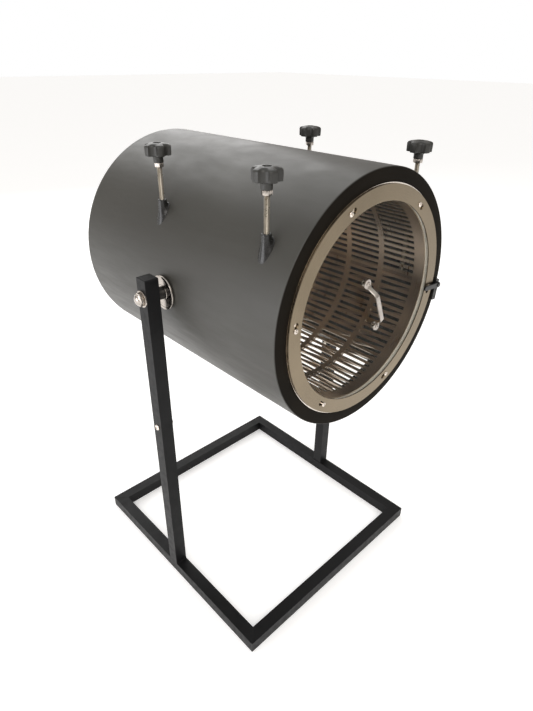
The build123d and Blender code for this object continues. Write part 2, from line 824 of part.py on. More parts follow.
# ================================================================ cutter grate
opening_width = grate_inner_radius * radians(grate_opening_angle)
skew_shift = grate_inner_radius * radians(grate_skew_angle) / 2
opening_step = 2 * slot_step
opening_spread = (grate_openings_round - 1) / 2
lug_top = axis_height - lug_top_drop
lug_inner_x = grate_inner_radius
pin_height = lug_top - rod_neck_drop - rod_neck_length / 2
pin_offset = rod_neck_radius + rod_pin_clearance + rod_pin_radius

with BuildPart() as cutter_grate:
    with BuildSketch(front_plane(slot_first_depth - grate_end_margin)):
        Circle(grate_outer_radius)
        Circle(grate_inner_radius, mode=Mode.SUBTRACT)
        with Locations((0, -grate_edge_drop)):
            Rectangle(
                2 * grate_outer_radius,
                2 * grate_outer_radius,
                align=(Align.CENTER, Align.MIN),
                mode=Mode.SUBTRACT,
            )
    extrude(amount=-(slots_end_depth - slot_first_depth + 2 * grate_end_margin))
    # slanted openings: each bar crosses from one drum slot to the next along its band
    opening_planes = [
        radial_plane(band_depth(band), (step - opening_spread) * opening_step - 90, grate_inner_radius)
        for band in range(slot_bands)
        for step in range(grate_openings_round)
    ]
    with BuildSketch(*opening_planes):
        Polygon(
            (-opening_width / 2 - skew_shift, -slot_length / 2),
            (opening_width / 2 - skew_shift, -slot_length / 2),
            (opening_width / 2 + skew_shift, slot_length / 2),
            (-opening_width / 2 + skew_shift, slot_length / 2),
            align=None,
        )
    extrude(amount=2 * grate_thickness, both=True, mode=Mode.SUBTRACT)
    # lugs that the rods turn in
    for x, depth in rod_places.values():
        side = x / abs(x)
        with BuildSketch(floor_plane(lug_top - lug_height, side * (lug_inner_x + lug_outer_x) / 2, depth)):
            Rectangle(lug_outer_x - lug_inner_x, lug_length)
        extrude(amount=lug_height)
        with BuildSketch(floor_plane(lug_top, x, depth)):
            Circle(rod_radius + running_clearance)
        extrude(amount=-(rod_seat_depth + running_clearance), mode=Mode.SUBTRACT)
        with BuildSketch(front_plane(depth)):
            with Locations((x + side * pin_offset, pin_height - axis_height)):
                Circle(rod_pin_radius)
        extrude(amount=lug_length, both=True, mode=Mode.SUBTRACT)
finish(cutter_grate, "cutter_grate")

with BuildPart() as rod_pins:
    for x, depth in rod_places.values():
        with BuildSketch(front_plane(depth)):
            with Locations((x + x / abs(x) * pin_offset, pin_height - axis_height)):
                Circle(rod_pin_radius)
        extrude(amount=lug_length / 2, both=True)
finish(rod_pins, "rod_retaining_pins")

# ================================================================ adjusting rods
neck_top = lug_top - rod_neck_drop
neck_bottom = neck_top - rod_neck_length
rod_bottom = lug_top - rod_seat_depth
nut_bottom = axis_height + locknut_bottom
neck_base = nut_bottom + locknut_height
head_base = neck_base + knob_neck_length

for place, (x, depth) in rod_places.items():
    with BuildPart() as rod:
        with BuildSketch(floor_plane(rod_bottom, x, depth)):
            Circle(rod_radius)
        extrude(amount=neck_bottom - rod_bottom)
        with BuildSketch(floor_plane(neck_bottom, x, depth)):
            Circle(rod_neck_radius)
        extrude(amount=rod_neck_length)
        with BuildSketch(floor_plane(neck_top, x, depth)):
            Circle(rod_radius)
        extrude(amount=neck_base + knob_rod_grip - neck_top)
    finish(rod, f"adjusting_rod_{place}")

    with BuildPart() as locknut:
        with BuildSketch(floor_plane(nut_bottom, x, depth)):
            RegularPolygon(locknut_flats / 2, 6, major_radius=False)
            Circle(rod_radius, mode=Mode.SUBTRACT)
        extrude(amount=locknut_height)
    finish(locknut, f"lock_nut_{place}")

    with BuildPart() as knob:
        with BuildSketch(floor_plane(head_base, x, depth)):
            Circle(knob_radius)
        extrude(amount=knob_head_height)
        fillet(knob.edges().group_by(Axis.Z)[-1], knob_edge_fillet)
        with BuildSketch(floor_plane(head_base, x, depth)):
            with PolarLocations(knob_flute_centre, knob_lobes):
                Circle(knob_flute_radius)
        extrude(amount=knob_head_height, mode=Mode.SUBTRACT)
        with BuildSketch(floor_plane(neck_base, x, depth)):
            Circle(knob_neck_radius)
        extrude(amount=knob_neck_length)
        with BuildSketch(floor_plane(neck_base, x, depth)):
            Circle(rod_radius)
        extrude(amount=knob_rod_grip, mode=Mode.SUBTRACT)
    finish(knob, f"star_knob_{place}")

# ================================================================ drive
bulkhead = ring(bulkhead_depth, bulkhead_thickness, casing_bore_radius, bulkhead_hole_radius)
finish(bulkhead, "bulkhead")

housing_depth = bulkhead_depth + bulkhead_thickness
with BuildPart() as bearing_housing:
    with BuildSketch(front_plane(housing_depth)):
        Circle(housing_radius)
        Circle(bearing_radius, mode=Mode.SUBTRACT)
    extrude(amount=-housing_length)
    fillet(bearing_housing.edges().group_by(Axis.Y)[-1].sort_by(SortBy.RADIUS)[-1:], housing_fillet)
finish(bearing_housing, "bearing_housing")

bearing = ring(
    housing_depth + (housing_length - bearing_width) / 2,
    bearing_width,
    bearing_radius,
    drum_shaft_radius + running_clearance,
)
finish(bearing, "drum_bearing")

with BuildPart() as motor_bracket:
    with BuildSketch(front_plane(motor_plate_depth)):
        RectangleRounded(motor_plate_size, motor_plate_size, gearbox_fillet)
        Circle(motor_plate_hole_radius, mode=Mode.SUBTRACT)
    extrude(amount=-motor_plate_thickness)
    with BuildSketch(front_plane(housing_depth)):
        with GridLocations(pillar_spacing, pillar_spacing, 2, 2):
            Circle(pillar_radius)
    extrude(amount=-(motor_plate_depth - housing_depth))
finish(motor_bracket, "motor_bracket")

gearbox_depth = motor_plate_depth + motor_plate_thickness
with BuildPart() as gearbox:
    with BuildSketch(front_plane(gearbox_depth)):
        RectangleRounded(gearbox_size, gearbox_size, gearbox_fillet)
        Circle(motor_shaft_radius + running_clearance, mode=Mode.SUBTRACT)
    extrude(amount=-(gearbox_length - motor_plate_thickness))
    with BuildSketch(front_plane(gearbox_depth + gearbox_length - motor_plate_thickness)):
        RectangleRounded(gearbox_size, gearbox_size, gearbox_fillet)
    extrude(amount=-motor_plate_thickness)
finish(gearbox, "gearbox")

with BuildPart() as motor_shaft:
    with BuildSketch(front_plane(motor_shaft_front)):
        Circle(motor_shaft_radius)
    shaft_end_depth = gearbox_depth + gearbox_length - motor_plate_thickness - coupler_gap
    extrude(amount=-(shaft_end_depth - motor_shaft_front))
finish(motor_shaft, "gearbox_output_shaft")

with BuildPart() as motor:
    with BuildSketch(front_plane(gearbox_depth + gearbox_length)):
        Circle(motor_radius)
    extrude(amount=-motor_length)
    fillet(motor.edges().group_by(Axis.Y)[-1], motor_edge_fillet)
finish(motor, "motor")

# ================================================================ rear cover
with BuildPart() as rear_cover:
    with BuildSketch(front_plane(casing_length)):
        Circle(cover_radius)
        with PolarLocations(cover_screw_circle, cover_screw_count):
            Circle(cover_screw_radius, mode=Mode.SUBTRACT)
        with PolarLocations(vent_slot_circle, vent_slot_count):
            SlotOverall(vent_slot_length, vent_slot_width, mode=Mode.SUBTRACT)
        with Locations((inlet_x, -socket_drop)):
            Rectangle(inlet_width, inlet_height, mode=Mode.SUBTRACT)
        with Locations((switch_x, -socket_drop)):
            Rectangle(
                switch_width + 2 * switch_wall,
                switch_height + 2 * switch_wall,
                mode=Mode.SUBTRACT,
            )
    extrude(amount=-cover_thickness)
finish(rear_cover, "rear_cover")

cover_face_depth = casing_length + cover_thickness
with BuildPart() as cover_screws:
    with BuildSketch(front_plane(cover_face_depth)):
        with PolarLocations(cover_screw_circle, cover_screw_count):
            Circle(cover_screw_head_radius)
    extrude(amount=-cover_screw_head_height)
    fillet(cover_screws.edges().group_by(Axis.Y)[-1], cover_screw_head_fillet)
    with BuildSketch(front_plane(cover_face_depth)):
        with PolarLocations(cover_screw_circle, cover_screw_count):
            Circle(cover_screw_radius)
    extrude(amount=cover_thickness + cover_screw_length)
finish(cover_screws, "cover_screws")

with BuildPart() as power_inlet:
    with BuildSketch(front_plane(cover_face_depth)):
        with Locations((inlet_x, -socket_drop)):
            Rectangle(inlet_width + 2 * inlet_lip, inlet_height + 2 * inlet_lip)
    extrude(amount=-inlet_lip_thickness)
    with BuildSketch(front_plane(cover_face_depth)):
        with Locations((inlet_x, -socket_drop)):
            Rectangle(inlet_width, inlet_height)
    extrude(amount=inlet_body_depth)
    with BuildSketch(front_plane(cover_face_depth + inlet_lip_thickness)):
        with Locations((inlet_x, -socket_drop)):
            Rectangle(inlet_well_width, inlet_well_height)
    extrude(amount=inlet_well_depth, mode=Mode.SUBTRACT)
finish(power_inlet, "power_inlet")


def switch_plane(turn=0.0):
    """Plane across the switch pivot, local x up and y backwards, turned about the pivot."""
    up = (0, sin(radians(turn)), cos(radians(turn)))
    origin = (switch_x, front_y + cover_face_depth, axis_height - socket_drop)
    return Plane(origin=origin, x_dir=up, z_dir=(-1, 0, 0))


with BuildPart() as switch_housing:
    with BuildSketch(front_plane(cover_face_depth)):
        with Locations((switch_x, -socket_drop)):
            Rectangle(
                switch_width + 2 * (switch_wall + inlet_lip),
                switch_height + 2 * (switch_wall + inlet_lip),
            )
            Rectangle(switch_width, switch_height, mode=Mode.SUBTRACT)
    extrude(amount=-inlet_lip_thickness)
    with BuildSketch(front_plane(cover_face_depth)):
        with Locations((switch_x, -socket_drop)):
            Rectangle(switch_width + 2 * switch_wall, switch_height + 2 * switch_wall)
            Rectangle(switch_width, switch_height, mode=Mode.SUBTRACT)
    extrude(amount=switch_depth)
    with BuildSketch(switch_plane()):
        Circle(switch_pin_radius + running_clearance)
    extrude(amount=switch_width / 2 + switch_wall, both=True, mode=Mode.SUBTRACT)
finish(switch_housing, "switch_housing")

with BuildPart() as switch_rocker:
    with BuildSketch(switch_plane(switch_key_tilt)):
        Rectangle(2 * key_half_height, 2 * switch_key_half_thickness)
    extrude(amount=switch_width / 2 - switch_key_clearance, both=True)
    with BuildSketch(switch_plane()):
        Circle(switch_pin_radius)
    extrude(amount=switch_width / 2 + switch_wall, both=True)
finish(switch_rocker, "switch_rocker")
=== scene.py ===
import math

import bmesh
import bpy
import numpy as np
from mathutils import Matrix, Vector


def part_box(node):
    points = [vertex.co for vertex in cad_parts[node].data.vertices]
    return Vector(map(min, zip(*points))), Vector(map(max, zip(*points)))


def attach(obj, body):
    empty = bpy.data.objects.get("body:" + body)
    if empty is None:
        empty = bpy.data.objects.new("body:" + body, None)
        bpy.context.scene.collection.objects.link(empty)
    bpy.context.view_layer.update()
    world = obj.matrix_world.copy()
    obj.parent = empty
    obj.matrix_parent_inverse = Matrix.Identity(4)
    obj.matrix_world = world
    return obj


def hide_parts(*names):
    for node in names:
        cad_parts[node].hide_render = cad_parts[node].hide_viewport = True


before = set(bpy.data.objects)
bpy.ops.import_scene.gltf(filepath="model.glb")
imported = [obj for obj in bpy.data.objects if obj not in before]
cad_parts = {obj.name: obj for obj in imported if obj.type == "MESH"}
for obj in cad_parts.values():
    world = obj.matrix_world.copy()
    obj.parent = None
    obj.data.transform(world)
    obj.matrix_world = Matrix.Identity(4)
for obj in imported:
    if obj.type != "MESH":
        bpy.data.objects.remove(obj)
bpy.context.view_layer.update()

bl_info = {
    "name": "Tilting Drum Trimmer",
    "version": (1, 0, 0),
    "blender": (4, 5, 0),
    "location": "3D View > Sidebar > Trimmer",
    "description": "Detailed pieces and finishes for a tilting drum trimmer",
    "category": "Object",
}

# Places, read from the frame. Metres, Z up, the door faces -Y.
CASING_LOW, CASING_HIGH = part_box("casing_pipe")
FRONT_Y = CASING_LOW.y
AXIS_Z = (CASING_LOW.z + CASING_HIGH.z) / 2
CASING_RADIUS = CASING_HIGH.x
MIDDLE_Y = (CASING_LOW.y + CASING_HIGH.y) / 2
CORNERS = ("front_left", "front_right", "rear_left", "rear_right")
TURN = 2 * math.pi


def middle(node):
    """The middle of a CAD node's box."""
    low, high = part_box(node)
    return (low + high) / 2


def rod_radius(corner):
    """Radius of the adjusting rod at a corner."""
    low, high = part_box(f"adjusting_rod_{corner}")
    return (high.x - low.x) / 2


# ---------------------------------------------------------------- surfaces


def grid_quads(rows, columns, start, around):
    """Quads of a grid numbered row by row from start. With around, the last column meets the first."""
    row = np.arange(rows - 1)[:, None]
    column = np.arange(columns if around else columns - 1)[None, :]
    beside = (column + 1) % columns
    quads = (
        row * columns + column,
        row * columns + beside,
        (row + 1) * columns + beside,
        (row + 1) * columns + column,
    )
    return start + np.stack(np.broadcast_arrays(*quads), axis=-1).reshape(-1, 4)


def turned(profile, outline=None, sides=48, turn=0.0):
    """A profile carried round the Z axis: each row (radius, height, share) becomes a closed ring.

    The ring's radius is the row's radius times 1 + share * (outline(angle) - 1), so share 0 keeps
    it round and share 1 gives it the whole outline, such as a hexagon's or a star knob's.
    """
    rows = np.array([tuple(row) + (0.0,) * (3 - len(row)) for row in profile], float)
    angle = turn + np.arange(sides) * TURN / sides
    shape = np.ones(sides) if outline is None else outline(angle)
    radius = rows[:, :1] * (1 + rows[:, 2:3] * (shape[None, :] - 1))
    height = np.broadcast_to(rows[:, 1:2], radius.shape)
    return np.stack([radius * np.cos(angle), radius * np.sin(angle), height], axis=-1)


def ring_of(profile):
    """A profile whose last row meets its first, for a ring with a hole through it."""
    return list(profile) + [profile[0]]


def placed(points, origin, outward):
    """Local points moved so that local +Z runs along outward and local zero is at origin."""
    turn = Vector((0, 0, 1)).rotation_difference(Vector(outward)).to_matrix()
    return points @ np.array(turn).T + np.array(origin)


def hexagon(angle):
    """A hexagon of unit half width: radius is one over the cosine of the angle from a flat's middle."""
    sixth = TURN / 6
    return 1 / np.cos((angle + sixth / 2) % sixth - sixth / 2)


def pointed_hexagon(angle):
    """The hexagon turned by half a flat, so that a corner lies where a flat's middle was."""
    return hexagon(angle + TURN / 12)


def arc_rows(centre_radius, centre_height, radius, start, end, steps, share=0.0):
    """Profile rows on an arc: centre plus radius times (cosine, sine), from start to end in degrees."""
    angle = np.radians(np.linspace(start, end, steps))
    return [
        (centre_radius + radius * c, centre_height + radius * s, share)
        for c, s in zip(np.cos(angle), np.sin(angle))
    ]


def make_piece(name, grids, body, stands_for, finish, around=True, sharp=35.0):
    """One object from grids of points: quads between neighbours, poles and seams merged, faces outwards."""
    points, quads, start = [], [], 0
    for grid in grids:
        rows, columns = grid.shape[:2]
        points.append(grid.reshape(-1, 3))
        quads.append(grid_quads(rows, columns, start, around))
        start += rows * columns
    mesh = bpy.data.meshes.new(name)
    mesh.from_pydata(np.concatenate(points), [], np.concatenate(quads))
    shaped = bmesh.new()
    shaped.from_mesh(mesh)
    bmesh.ops.remove_doubles(shaped, verts=shaped.verts, dist=2e-6)
    bmesh.ops.recalc_face_normals(shaped, faces=shaped.faces)
    shaped.to_mesh(mesh)
    shaped.free()
    mesh.shade_smooth()
    mesh.set_sharp_from_angle(angle=math.radians(sharp))
    mesh.materials.append(finish)
    piece = bpy.data.objects.new(name, mesh)
    bpy.context.scene.collection.objects.link(piece)
    if stands_for:
        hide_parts(*stands_for)
    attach(piece, body)
    return piece


# ---------------------------------------------------------------- finishes


class Finish:
    """A Principled material and the few nodes its pattern needs."""

    def __init__(self, name, colour, roughness, metallic=0.0, **sockets):
        self.material = bpy.data.materials.new(name)
        self.material.use_nodes = True
        self.tree = self.material.node_tree
        self.shader = self.tree.nodes["Principled BSDF"]
        self.shader.inputs["Base Color"].default_value = tuple(colour) + (1.0,)
        self.shader.inputs["Roughness"].default_value = roughness
        self.shader.inputs["Metallic"].default_value = metallic
        for socket, value in sockets.items():
            self.shader.inputs[socket.replace("_", " ")].default_value = value
        self.place = self.node("ShaderNodeTexCoord").outputs["Object"]

    def node(self, kind, values=(), **settings):
        """A node with its settings, and its inputs linked or set by name or number."""
        made = self.tree.nodes.new(kind)
        for key, value in settings.items():
            setattr(made, key, value)
        for key, value in dict(values).items():
            if isinstance(value, bpy.types.NodeSocket):
                self.tree.links.new(value, made.inputs[key])
            else:
                made.inputs[key].default_value = value
        return made

    def math(self, operation, first, second=0.0):
        """One sum, product or function of one or two values."""
        values = {0: first, 1: second}
        return self.node("ShaderNodeMath", values, operation=operation).outputs[0]

    def scaled(self, scale, centre=(0, 0, 0)):
        """Object coordinates moved to a centre and stretched, so that a pattern can run one way."""
        shift = tuple(-c * s for c, s in zip(centre, scale))
        values = {"Vector": self.place, "Location": shift, "Scale": scale}
        return self.node("ShaderNodeMapping", values).outputs[0]

    def noise(self, where, scale, detail=3.0, roughness=0.55):
        """Fractal noise from 0 to 1, with a scale in cycles per metre."""
        values = {"Vector": where, "Scale": scale, "Detail": detail, "Roughness": roughness}
        return self.node("ShaderNodeTexNoise", values).outputs[0]

    def spread(self, value, low, high, from_low=0.3, from_high=0.7):
        """A value carried from one range to another, held at the ends."""
        values = {0: value, 1: from_low, 2: from_high, 3: low, 4: high}
        return self.node("ShaderNodeMapRange", values).outputs[0]

    def around_axis(self):
        """Round the drum's axis: the radius, the angle in radians, and the place along the axis."""
        parts = self.node("ShaderNodeSeparateXYZ", {0: self.place}).outputs
        height = self.math("SUBTRACT", parts[2], AXIS_Z)
        across, up = self.math("MULTIPLY", parts[0], parts[0]), self.math("MULTIPLY", height, height)
        radius = self.math("SQRT", self.math("ADD", across, up))
        return radius, self.math("ARCTAN2", height, parts[0]), parts[1]

    def joined(self, x, y, z):
        """Three values as one vector."""
        return self.node("ShaderNodeCombineXYZ", {0: x, 1: y, 2: z}).outputs[0]

    def blend(self, share, first, second):
        """A colour between two colours, either of which may be linked."""
        node = self.tree.nodes.new("ShaderNodeMix")
        node.data_type = "RGBA"
        for slot, value in ((0, share), (6, first), (7, second)):
            if isinstance(value, bpy.types.NodeSocket):
                self.tree.links.new(value, node.inputs[slot])
            else:
                node.inputs[slot].default_value = tuple(value) + (1.0,) if slot else value
        return node.outputs[2]

    def colour(self, socket):
        self.tree.links.new(socket, self.shader.inputs["Base Color"])
        return self

    def rough(self, socket):
        self.tree.links.new(socket, self.shader.inputs["Roughness"])
        return self

    def relief(self, height, distance, strength=1.0):
        """Bump of a height pattern, whose full range stands distance metres deep."""
        values = {"Strength": strength, "Distance": distance, "Height": height}
        bump = self.node("ShaderNodeBump", values)
        self.tree.links.new(bump.outputs[0], self.shader.inputs["Normal"])
        return self


def shades(colour, down, up):
    """A darker and a lighter shade of one colour."""
    return [c * down for c in colour], [c * up for c in colour]


def powder_coat(name, colour):
    """Satin powder coat: fine orange peel and faint cloudiness."""
    made = Finish(name, colour, 0.4, Specular_IOR_Level=0.14)
    dark, light = shades(colour, 0.8, 1.25)
    cloud = made.noise(made.place, 9.0, 4.0)
    made.colour(made.blend(made.spread(cloud, 0.0, 1.0), dark, light))
    made.rough(made.spread(made.noise(made.place, 60.0), 0.34, 0.5))
    return made.relief(made.noise(made.place, 900.0, 2.0), 0.00004, 0.5).material


def pipe_black(name, colour, face_colour):
    """Extruded pipe: faint die lines along it and slow cloudiness; its cut ends show fine turned rings."""
    made = Finish(name, colour, 0.42)
    radius, angle, along = made.around_axis()
    arc_length = made.math("MULTIPLY", angle, CASING_RADIUS)
    unrolled = made.joined(arc_length, made.math("MULTIPLY", along, 0.03), 0.0)
    lines = made.noise(unrolled, 240.0, 3.0)
    cloud = made.noise(made.place, 3.0, 4.0)
    scuffs = made.noise(made.scaled((1, 1, 6)), 14.0, 5.0)
    dark, light = shades(colour, 0.88, 1.1)
    wall = made.blend(made.spread(cloud, 0.0, 1.0), dark, light)
    rings = made.noise(made.joined(radius, 0.0, 0.0), 1500.0, 2.0)
    # The face colour's brown tint is a painted warm reflection.
    face_dark, face_light = shades(face_colour, 0.75, 1.35)
    face = made.blend(rings, face_dark, face_light)
    on_face = made.math("LESS_THAN", along, FRONT_Y + 0.0008)
    made.colour(made.blend(on_face, wall, face))
    made.rough(made.spread(scuffs, 0.38, 0.5))
    pattern = made.node(
        "ShaderNodeMix", {0: on_face, 2: lines, 3: rings}, data_type="FLOAT"
    ).outputs[0]
    return made.relief(pattern, 0.00003, 0.5).material


def sawn_face(name, colour):
    """Machined pipe end: dull, nearly black, with fine turned rings round the drum's axis. Its brown tint
    is a painted warm reflection.
    """
    made = Finish(name, colour, 0.62, Specular_IOR_Level=0.05)
    radius, angle = made.around_axis()[:2]
    rings = made.noise(made.joined(radius, made.math("MULTIPLY", angle, 0.002), 0.0), 900.0, 3.0)
    cloud = made.noise(made.place, 12.0, 4.0)
    dark, light = shades(colour, 0.6, 1.5)
    both = made.math("ADD", made.math("MULTIPLY", rings, 0.5), made.math("MULTIPLY", cloud, 0.5))
    made.colour(made.blend(made.spread(both, 0.0, 1.0), dark, light))
    made.rough(made.spread(rings, 0.55, 0.72))
    return made.relief(rings, 0.00004, 0.5).material


def moulded_black(name, colour, roughness=0.38):
    """Moulded plastic: fine grain, slightly lighter where the mould was worn."""
    made = Finish(name, colour, roughness)
    dark, light = shades(colour, 0.75, 1.3)
    made.colour(made.blend(made.noise(made.place, 45.0, 4.0), dark, light))
    made.rough(made.spread(made.noise(made.place, 180.0), roughness - 0.06, roughness + 0.12))
    return made.relief(made.noise(made.place, 2600.0, 1.0), 0.00003, 0.4).material


def brushed_round(name, colour, roughness, grain=900.0):
    """Sheet steel rubbed round the drum's axis: hair lines that follow the circles, with soft smears."""
    made = Finish(name, colour, roughness, 1.0)
    radius, angle = made.around_axis()[:2]
    lines = made.noise(made.joined(radius, made.math("MULTIPLY", angle, 0.004), 0.0), grain, 3.0, 0.7)
    smear = made.noise(made.place, 7.0, 3.0)
    dark, light = shades(colour, 0.85, 1.12)
    made.colour(made.blend(made.spread(smear, 0.0, 1.0), dark, light))
    both = made.math("ADD", made.math("MULTIPLY", lines, 0.5), made.math("MULTIPLY", smear, 0.5))
    made.rough(made.spread(both, roughness - 0.08, roughness + 0.12))
    return made.relief(lines, 0.000012, 0.4).material


def rolled_sheet(name, colour, roughness):
    """Rolled drum sheet: mill lines round the drum, warm tint that comes and goes, and resin haze."""
    made = Finish(name, colour, roughness, 1.0)
    radius, angle, along = made.around_axis()
    lines = made.noise(made.joined(along, made.math("MULTIPLY", angle, 0.003), radius), 700.0, 3.0, 0.7)
    haze = made.noise(made.place, 11.0, 5.0)
    dark, light = shades(colour, 0.72, 1.18)
    made.colour(made.blend(made.spread(haze, 0.0, 1.0), dark, light))
    both = made.math("ADD", made.math("MULTIPLY", lines, 0.4), made.math("MULTIPLY", haze, 0.6))
    made.rough(made.spread(both, roughness - 0.07, roughness + 0.14))
    return made.relief(lines, 0.00002, 0.4).material


def plated_steel(name, colour, roughness, mark=400.0):
    """Plated or polished steel: small turning marks and dull patches."""
    made = Finish(name, colour, roughness, 1.0)
    patch = made.noise(made.place, 70.0, 4.0)
    dark, light = shades(colour, 0.75, 1.15)
    made.colour(made.blend(made.spread(patch, 0.0, 1.0), dark, light))
    made.rough(made.spread(patch, roughness - 0.06, roughness + 0.12))
    return made.relief(made.noise(made.place, mark, 3.0), 0.00005, 0.35).material


def dull_rubber(name, colour):
    """Rubber: dull, with a powdery bloom."""
    made = Finish(name, colour, 0.75)
    dark, light = shades(colour, 0.7, 1.5)
    made.colour(made.blend(made.noise(made.place, 60.0, 4.0), dark, light))
    return made.relief(made.noise(made.place, 1200.0, 2.0), 0.00006, 0.5).material


def clear_sheet(name, tint):
    """Clear plastic sheet: light passes straight through, and the surface mirrors a little."""
    made = Finish(name, tint, 0.03)
    tree = made.tree
    wipe = made.noise(made.scaled((1, 1, 3)), 5.0, 4.0)
    made.rough(made.spread(wipe, 0.02, 0.06))
    see = made.node("ShaderNodeBsdfTransparent", {0: tuple(tint) + (1.0,)})
    mirror = made.node("ShaderNodeLayerWeight", {0: 0.5})
    share = made.spread(mirror.outputs["Facing"], 0.008, 0.3, 0.62, 1.0)
    mix = made.node("ShaderNodeMixShader", {0: share, 1: see.outputs[0], 2: made.shader.outputs[0]})
    made.shader.inputs["Metallic"].default_value = 1.0
    tree.links.new(mix.outputs[0], tree.nodes["Material Output"].inputs[0])
    return made.material


def floor_white(name, colour):
    """Matt studio floor: one pale tone with the faintest mottling, lit a little from below."""
    made = Finish(name, colour, 0.9, Emission_Strength=0.27, Emission_Color=(1.0, 1.0, 1.0, 1.0))
    dark, light = shades(colour, 0.985, 1.0)
    return made.colour(made.blend(made.noise(made.place, 2.0), dark, light)).material


# ---------------------------------------------------------------- sizes and colours


def colour_setting(name, description, default):
    """A colour that a user may change."""
    return bpy.props.FloatVectorProperty(
        name=name, description=description, subtype="COLOR", size=3, min=0, max=1, default=default
    )


def size_setting(name, description, default):
    """A length in metres that a user may change."""
    return bpy.props.FloatProperty(
        name=name, description=description, subtype="DISTANCE", unit="LENGTH", min=0,
        default=default, precision=4,
    )


class TrimmerColours(bpy.types.PropertyGroup):
    """Colours of the trimmer's finishes."""

    powder_coat: colour_setting("Powder coat", "Posts and base", (0.0075, 0.0075, 0.008))
    pipe: colour_setting("Pipe", "Outside of the casing", (0.038, 0.0368, 0.0315))
    # Pipe face: near black with a brown tint; the brown is a painted warm reflection.
    pipe_face: colour_setting("Pipe face", "Cut front face of the casing", (0.0075, 0.0058, 0.0038))
    plastic: colour_setting("Plastic", "Knobs, latch and switch", (0.023, 0.0225, 0.02))
    # Painted shade: the bosses are the casing's own plastic, and this much darker black stands in for the
    # shade on their tops and right sides.
    boss: colour_setting("Boss", "Bosses that the rods pass through", (0.007, 0.0068, 0.0065))
    rubber: colour_setting("Rubber", "Door gasket", (0.015, 0.015, 0.015))
    # Ring steel: the tan in this colour is a painted warm reflection on the stainless ring.
    ring_steel: colour_setting("Ring steel", "Door ring and flange", (0.23, 0.186, 0.128))
    drum_steel: colour_setting("Drum steel", "Drum and cutter grate", (0.66, 0.555, 0.45))
    bright_steel: colour_setting("Bright steel", "Handle, screws and discs", (0.46, 0.42, 0.38))
    zinc: colour_setting("Zinc", "Rods, nuts and drive parts", (0.38, 0.345, 0.29))
    bearing_white: colour_setting("Bearing white", "Plain bushes and mouth ring", (0.7, 0.68, 0.62))
    motor: colour_setting("Motor", "Motor and gearbox", (0.13, 0.14, 0.15))
    window: colour_setting("Window", "Tint of the clear door", (0.95, 0.95, 0.94))
    floor: colour_setting("Floor", "Studio floor", (0.98, 0.98, 0.98))


class TrimmerSizes(bpy.types.PropertyGroup):
    """Sizes of the small details."""

    thread_pitch: size_setting("Thread pitch", "Pitch of the adjusting rods", 0.0015)
    thread_depth: size_setting("Thread depth", "Depth of the rods' thread", 0.0008)
    boss_flare: size_setting("Boss flare", "How far a rod boss's foot spreads on the casing", 0.005)
    lobe_round: size_setting("Lobe rounding", "Rounding of the star knobs' lobes", 0.0012)
    recess: size_setting("Recess", "Hexagon recess in the screw heads, half its width", 0.0015)
    weld_bead: size_setting("Weld bead", "Half width of the stand's weld beads", 0.0022)


def finish_named(name):
    """A finish made by the finishes' operator."""
    return bpy.data.materials[name]


# ---------------------------------------------------------------- operators

NODE_FINISHES = {
    "powder_coat_black": ("base_frame", "lower_posts", "upper_posts", "post_spigots"),
    "post_cap_black": ("post_caps",),
    "casing_black": ("casing_pipe", "rear_cover"),
    "moulded_black": ("power_inlet", "switch_housing", "switch_rocker"),
    "bush_black": ("pivot_bushes",),
    "latch_black": ("latch_base", "latch_finger", "latch_pin"),
    "door_rubber": ("door_gasket",),
    "ring_steel": ("lid_ring",),
    "screw_steel": ("door_flange", "rod_retaining_pins"),
    "drum_steel": ("drum_shell", "drum_end_plate"),
    "grate_steel": ("cutter_grate",),
    "bearing_white": ("mouth_ring",),
    "zinc_plate": (
        "bulkhead", "bearing_housing", "drum_bearing", "motor_bracket", "drum_hub", "drum_shaft",
        "shaft_coupler", "gearbox_output_shaft", "trunnion_saddles",
        "trunnion_bolts", "post_joint_nuts", "handle_nuts",
    ),
    "motor_enamel": ("gearbox", "motor"),
    "door_sheet": ("window_pane",),
}


class TRIMMER_OT_finishes(bpy.types.Operator):
    """Make every finish and give the carried-over nodes theirs"""

    bl_idname = "trimmer.finishes"
    bl_label = "Finishes"

    def execute(self, context):
        tint = context.scene.trimmer_colours
        powder_coat("powder_coat_black", tint.powder_coat)
        powder_coat("post_cap_black", [c * 1.6 for c in tint.powder_coat])
        # Both casing finishes give the cut face a brown tint, which is a painted warm reflection.
        pipe_black("casing_black", tint.pipe, tint.pipe_face)
        sawn_face("casing_face_black", tint.pipe_face)
        moulded_black("moulded_black", tint.plastic)
        # The boss finish is a darker copy of the casing black: painted shade.
        moulded_black("boss_black_painted_shade", tint.boss, 0.22)
        moulded_black("bush_black", [c * 0.3 for c in tint.plastic], 0.3)
        moulded_black("latch_black", [c * 0.35 for c in tint.plastic], 0.34)
        plated_steel("screw_steel", [min(c * 1.7, 0.9) for c in tint.bright_steel], 0.1)
        dull_rubber("door_rubber", tint.rubber)
        # The ring's tan tint is a painted warm reflection.
        brushed_round("ring_steel", tint.ring_steel, 0.27)
        rolled_sheet("drum_steel", tint.drum_steel, 0.3)
        rolled_sheet("grate_steel", [c * 0.7 for c in tint.drum_steel], 0.36)
        plated_steel("polished_steel", tint.bright_steel, 0.14)
        plated_steel("zinc_plate", tint.zinc, 0.28)
        moulded_black("bearing_white", tint.bearing_white, 0.5)
        powder_coat("motor_enamel", tint.motor)
        clear_sheet("door_sheet", tint.window)
        floor_white("studio_floor", tint.floor)
        for name, nodes in NODE_FINISHES.items():
            for node in nodes:
                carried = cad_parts[node]
                carried.data.materials.clear()
                carried.data.materials.append(finish_named(name))
        return {"FINISHED"}


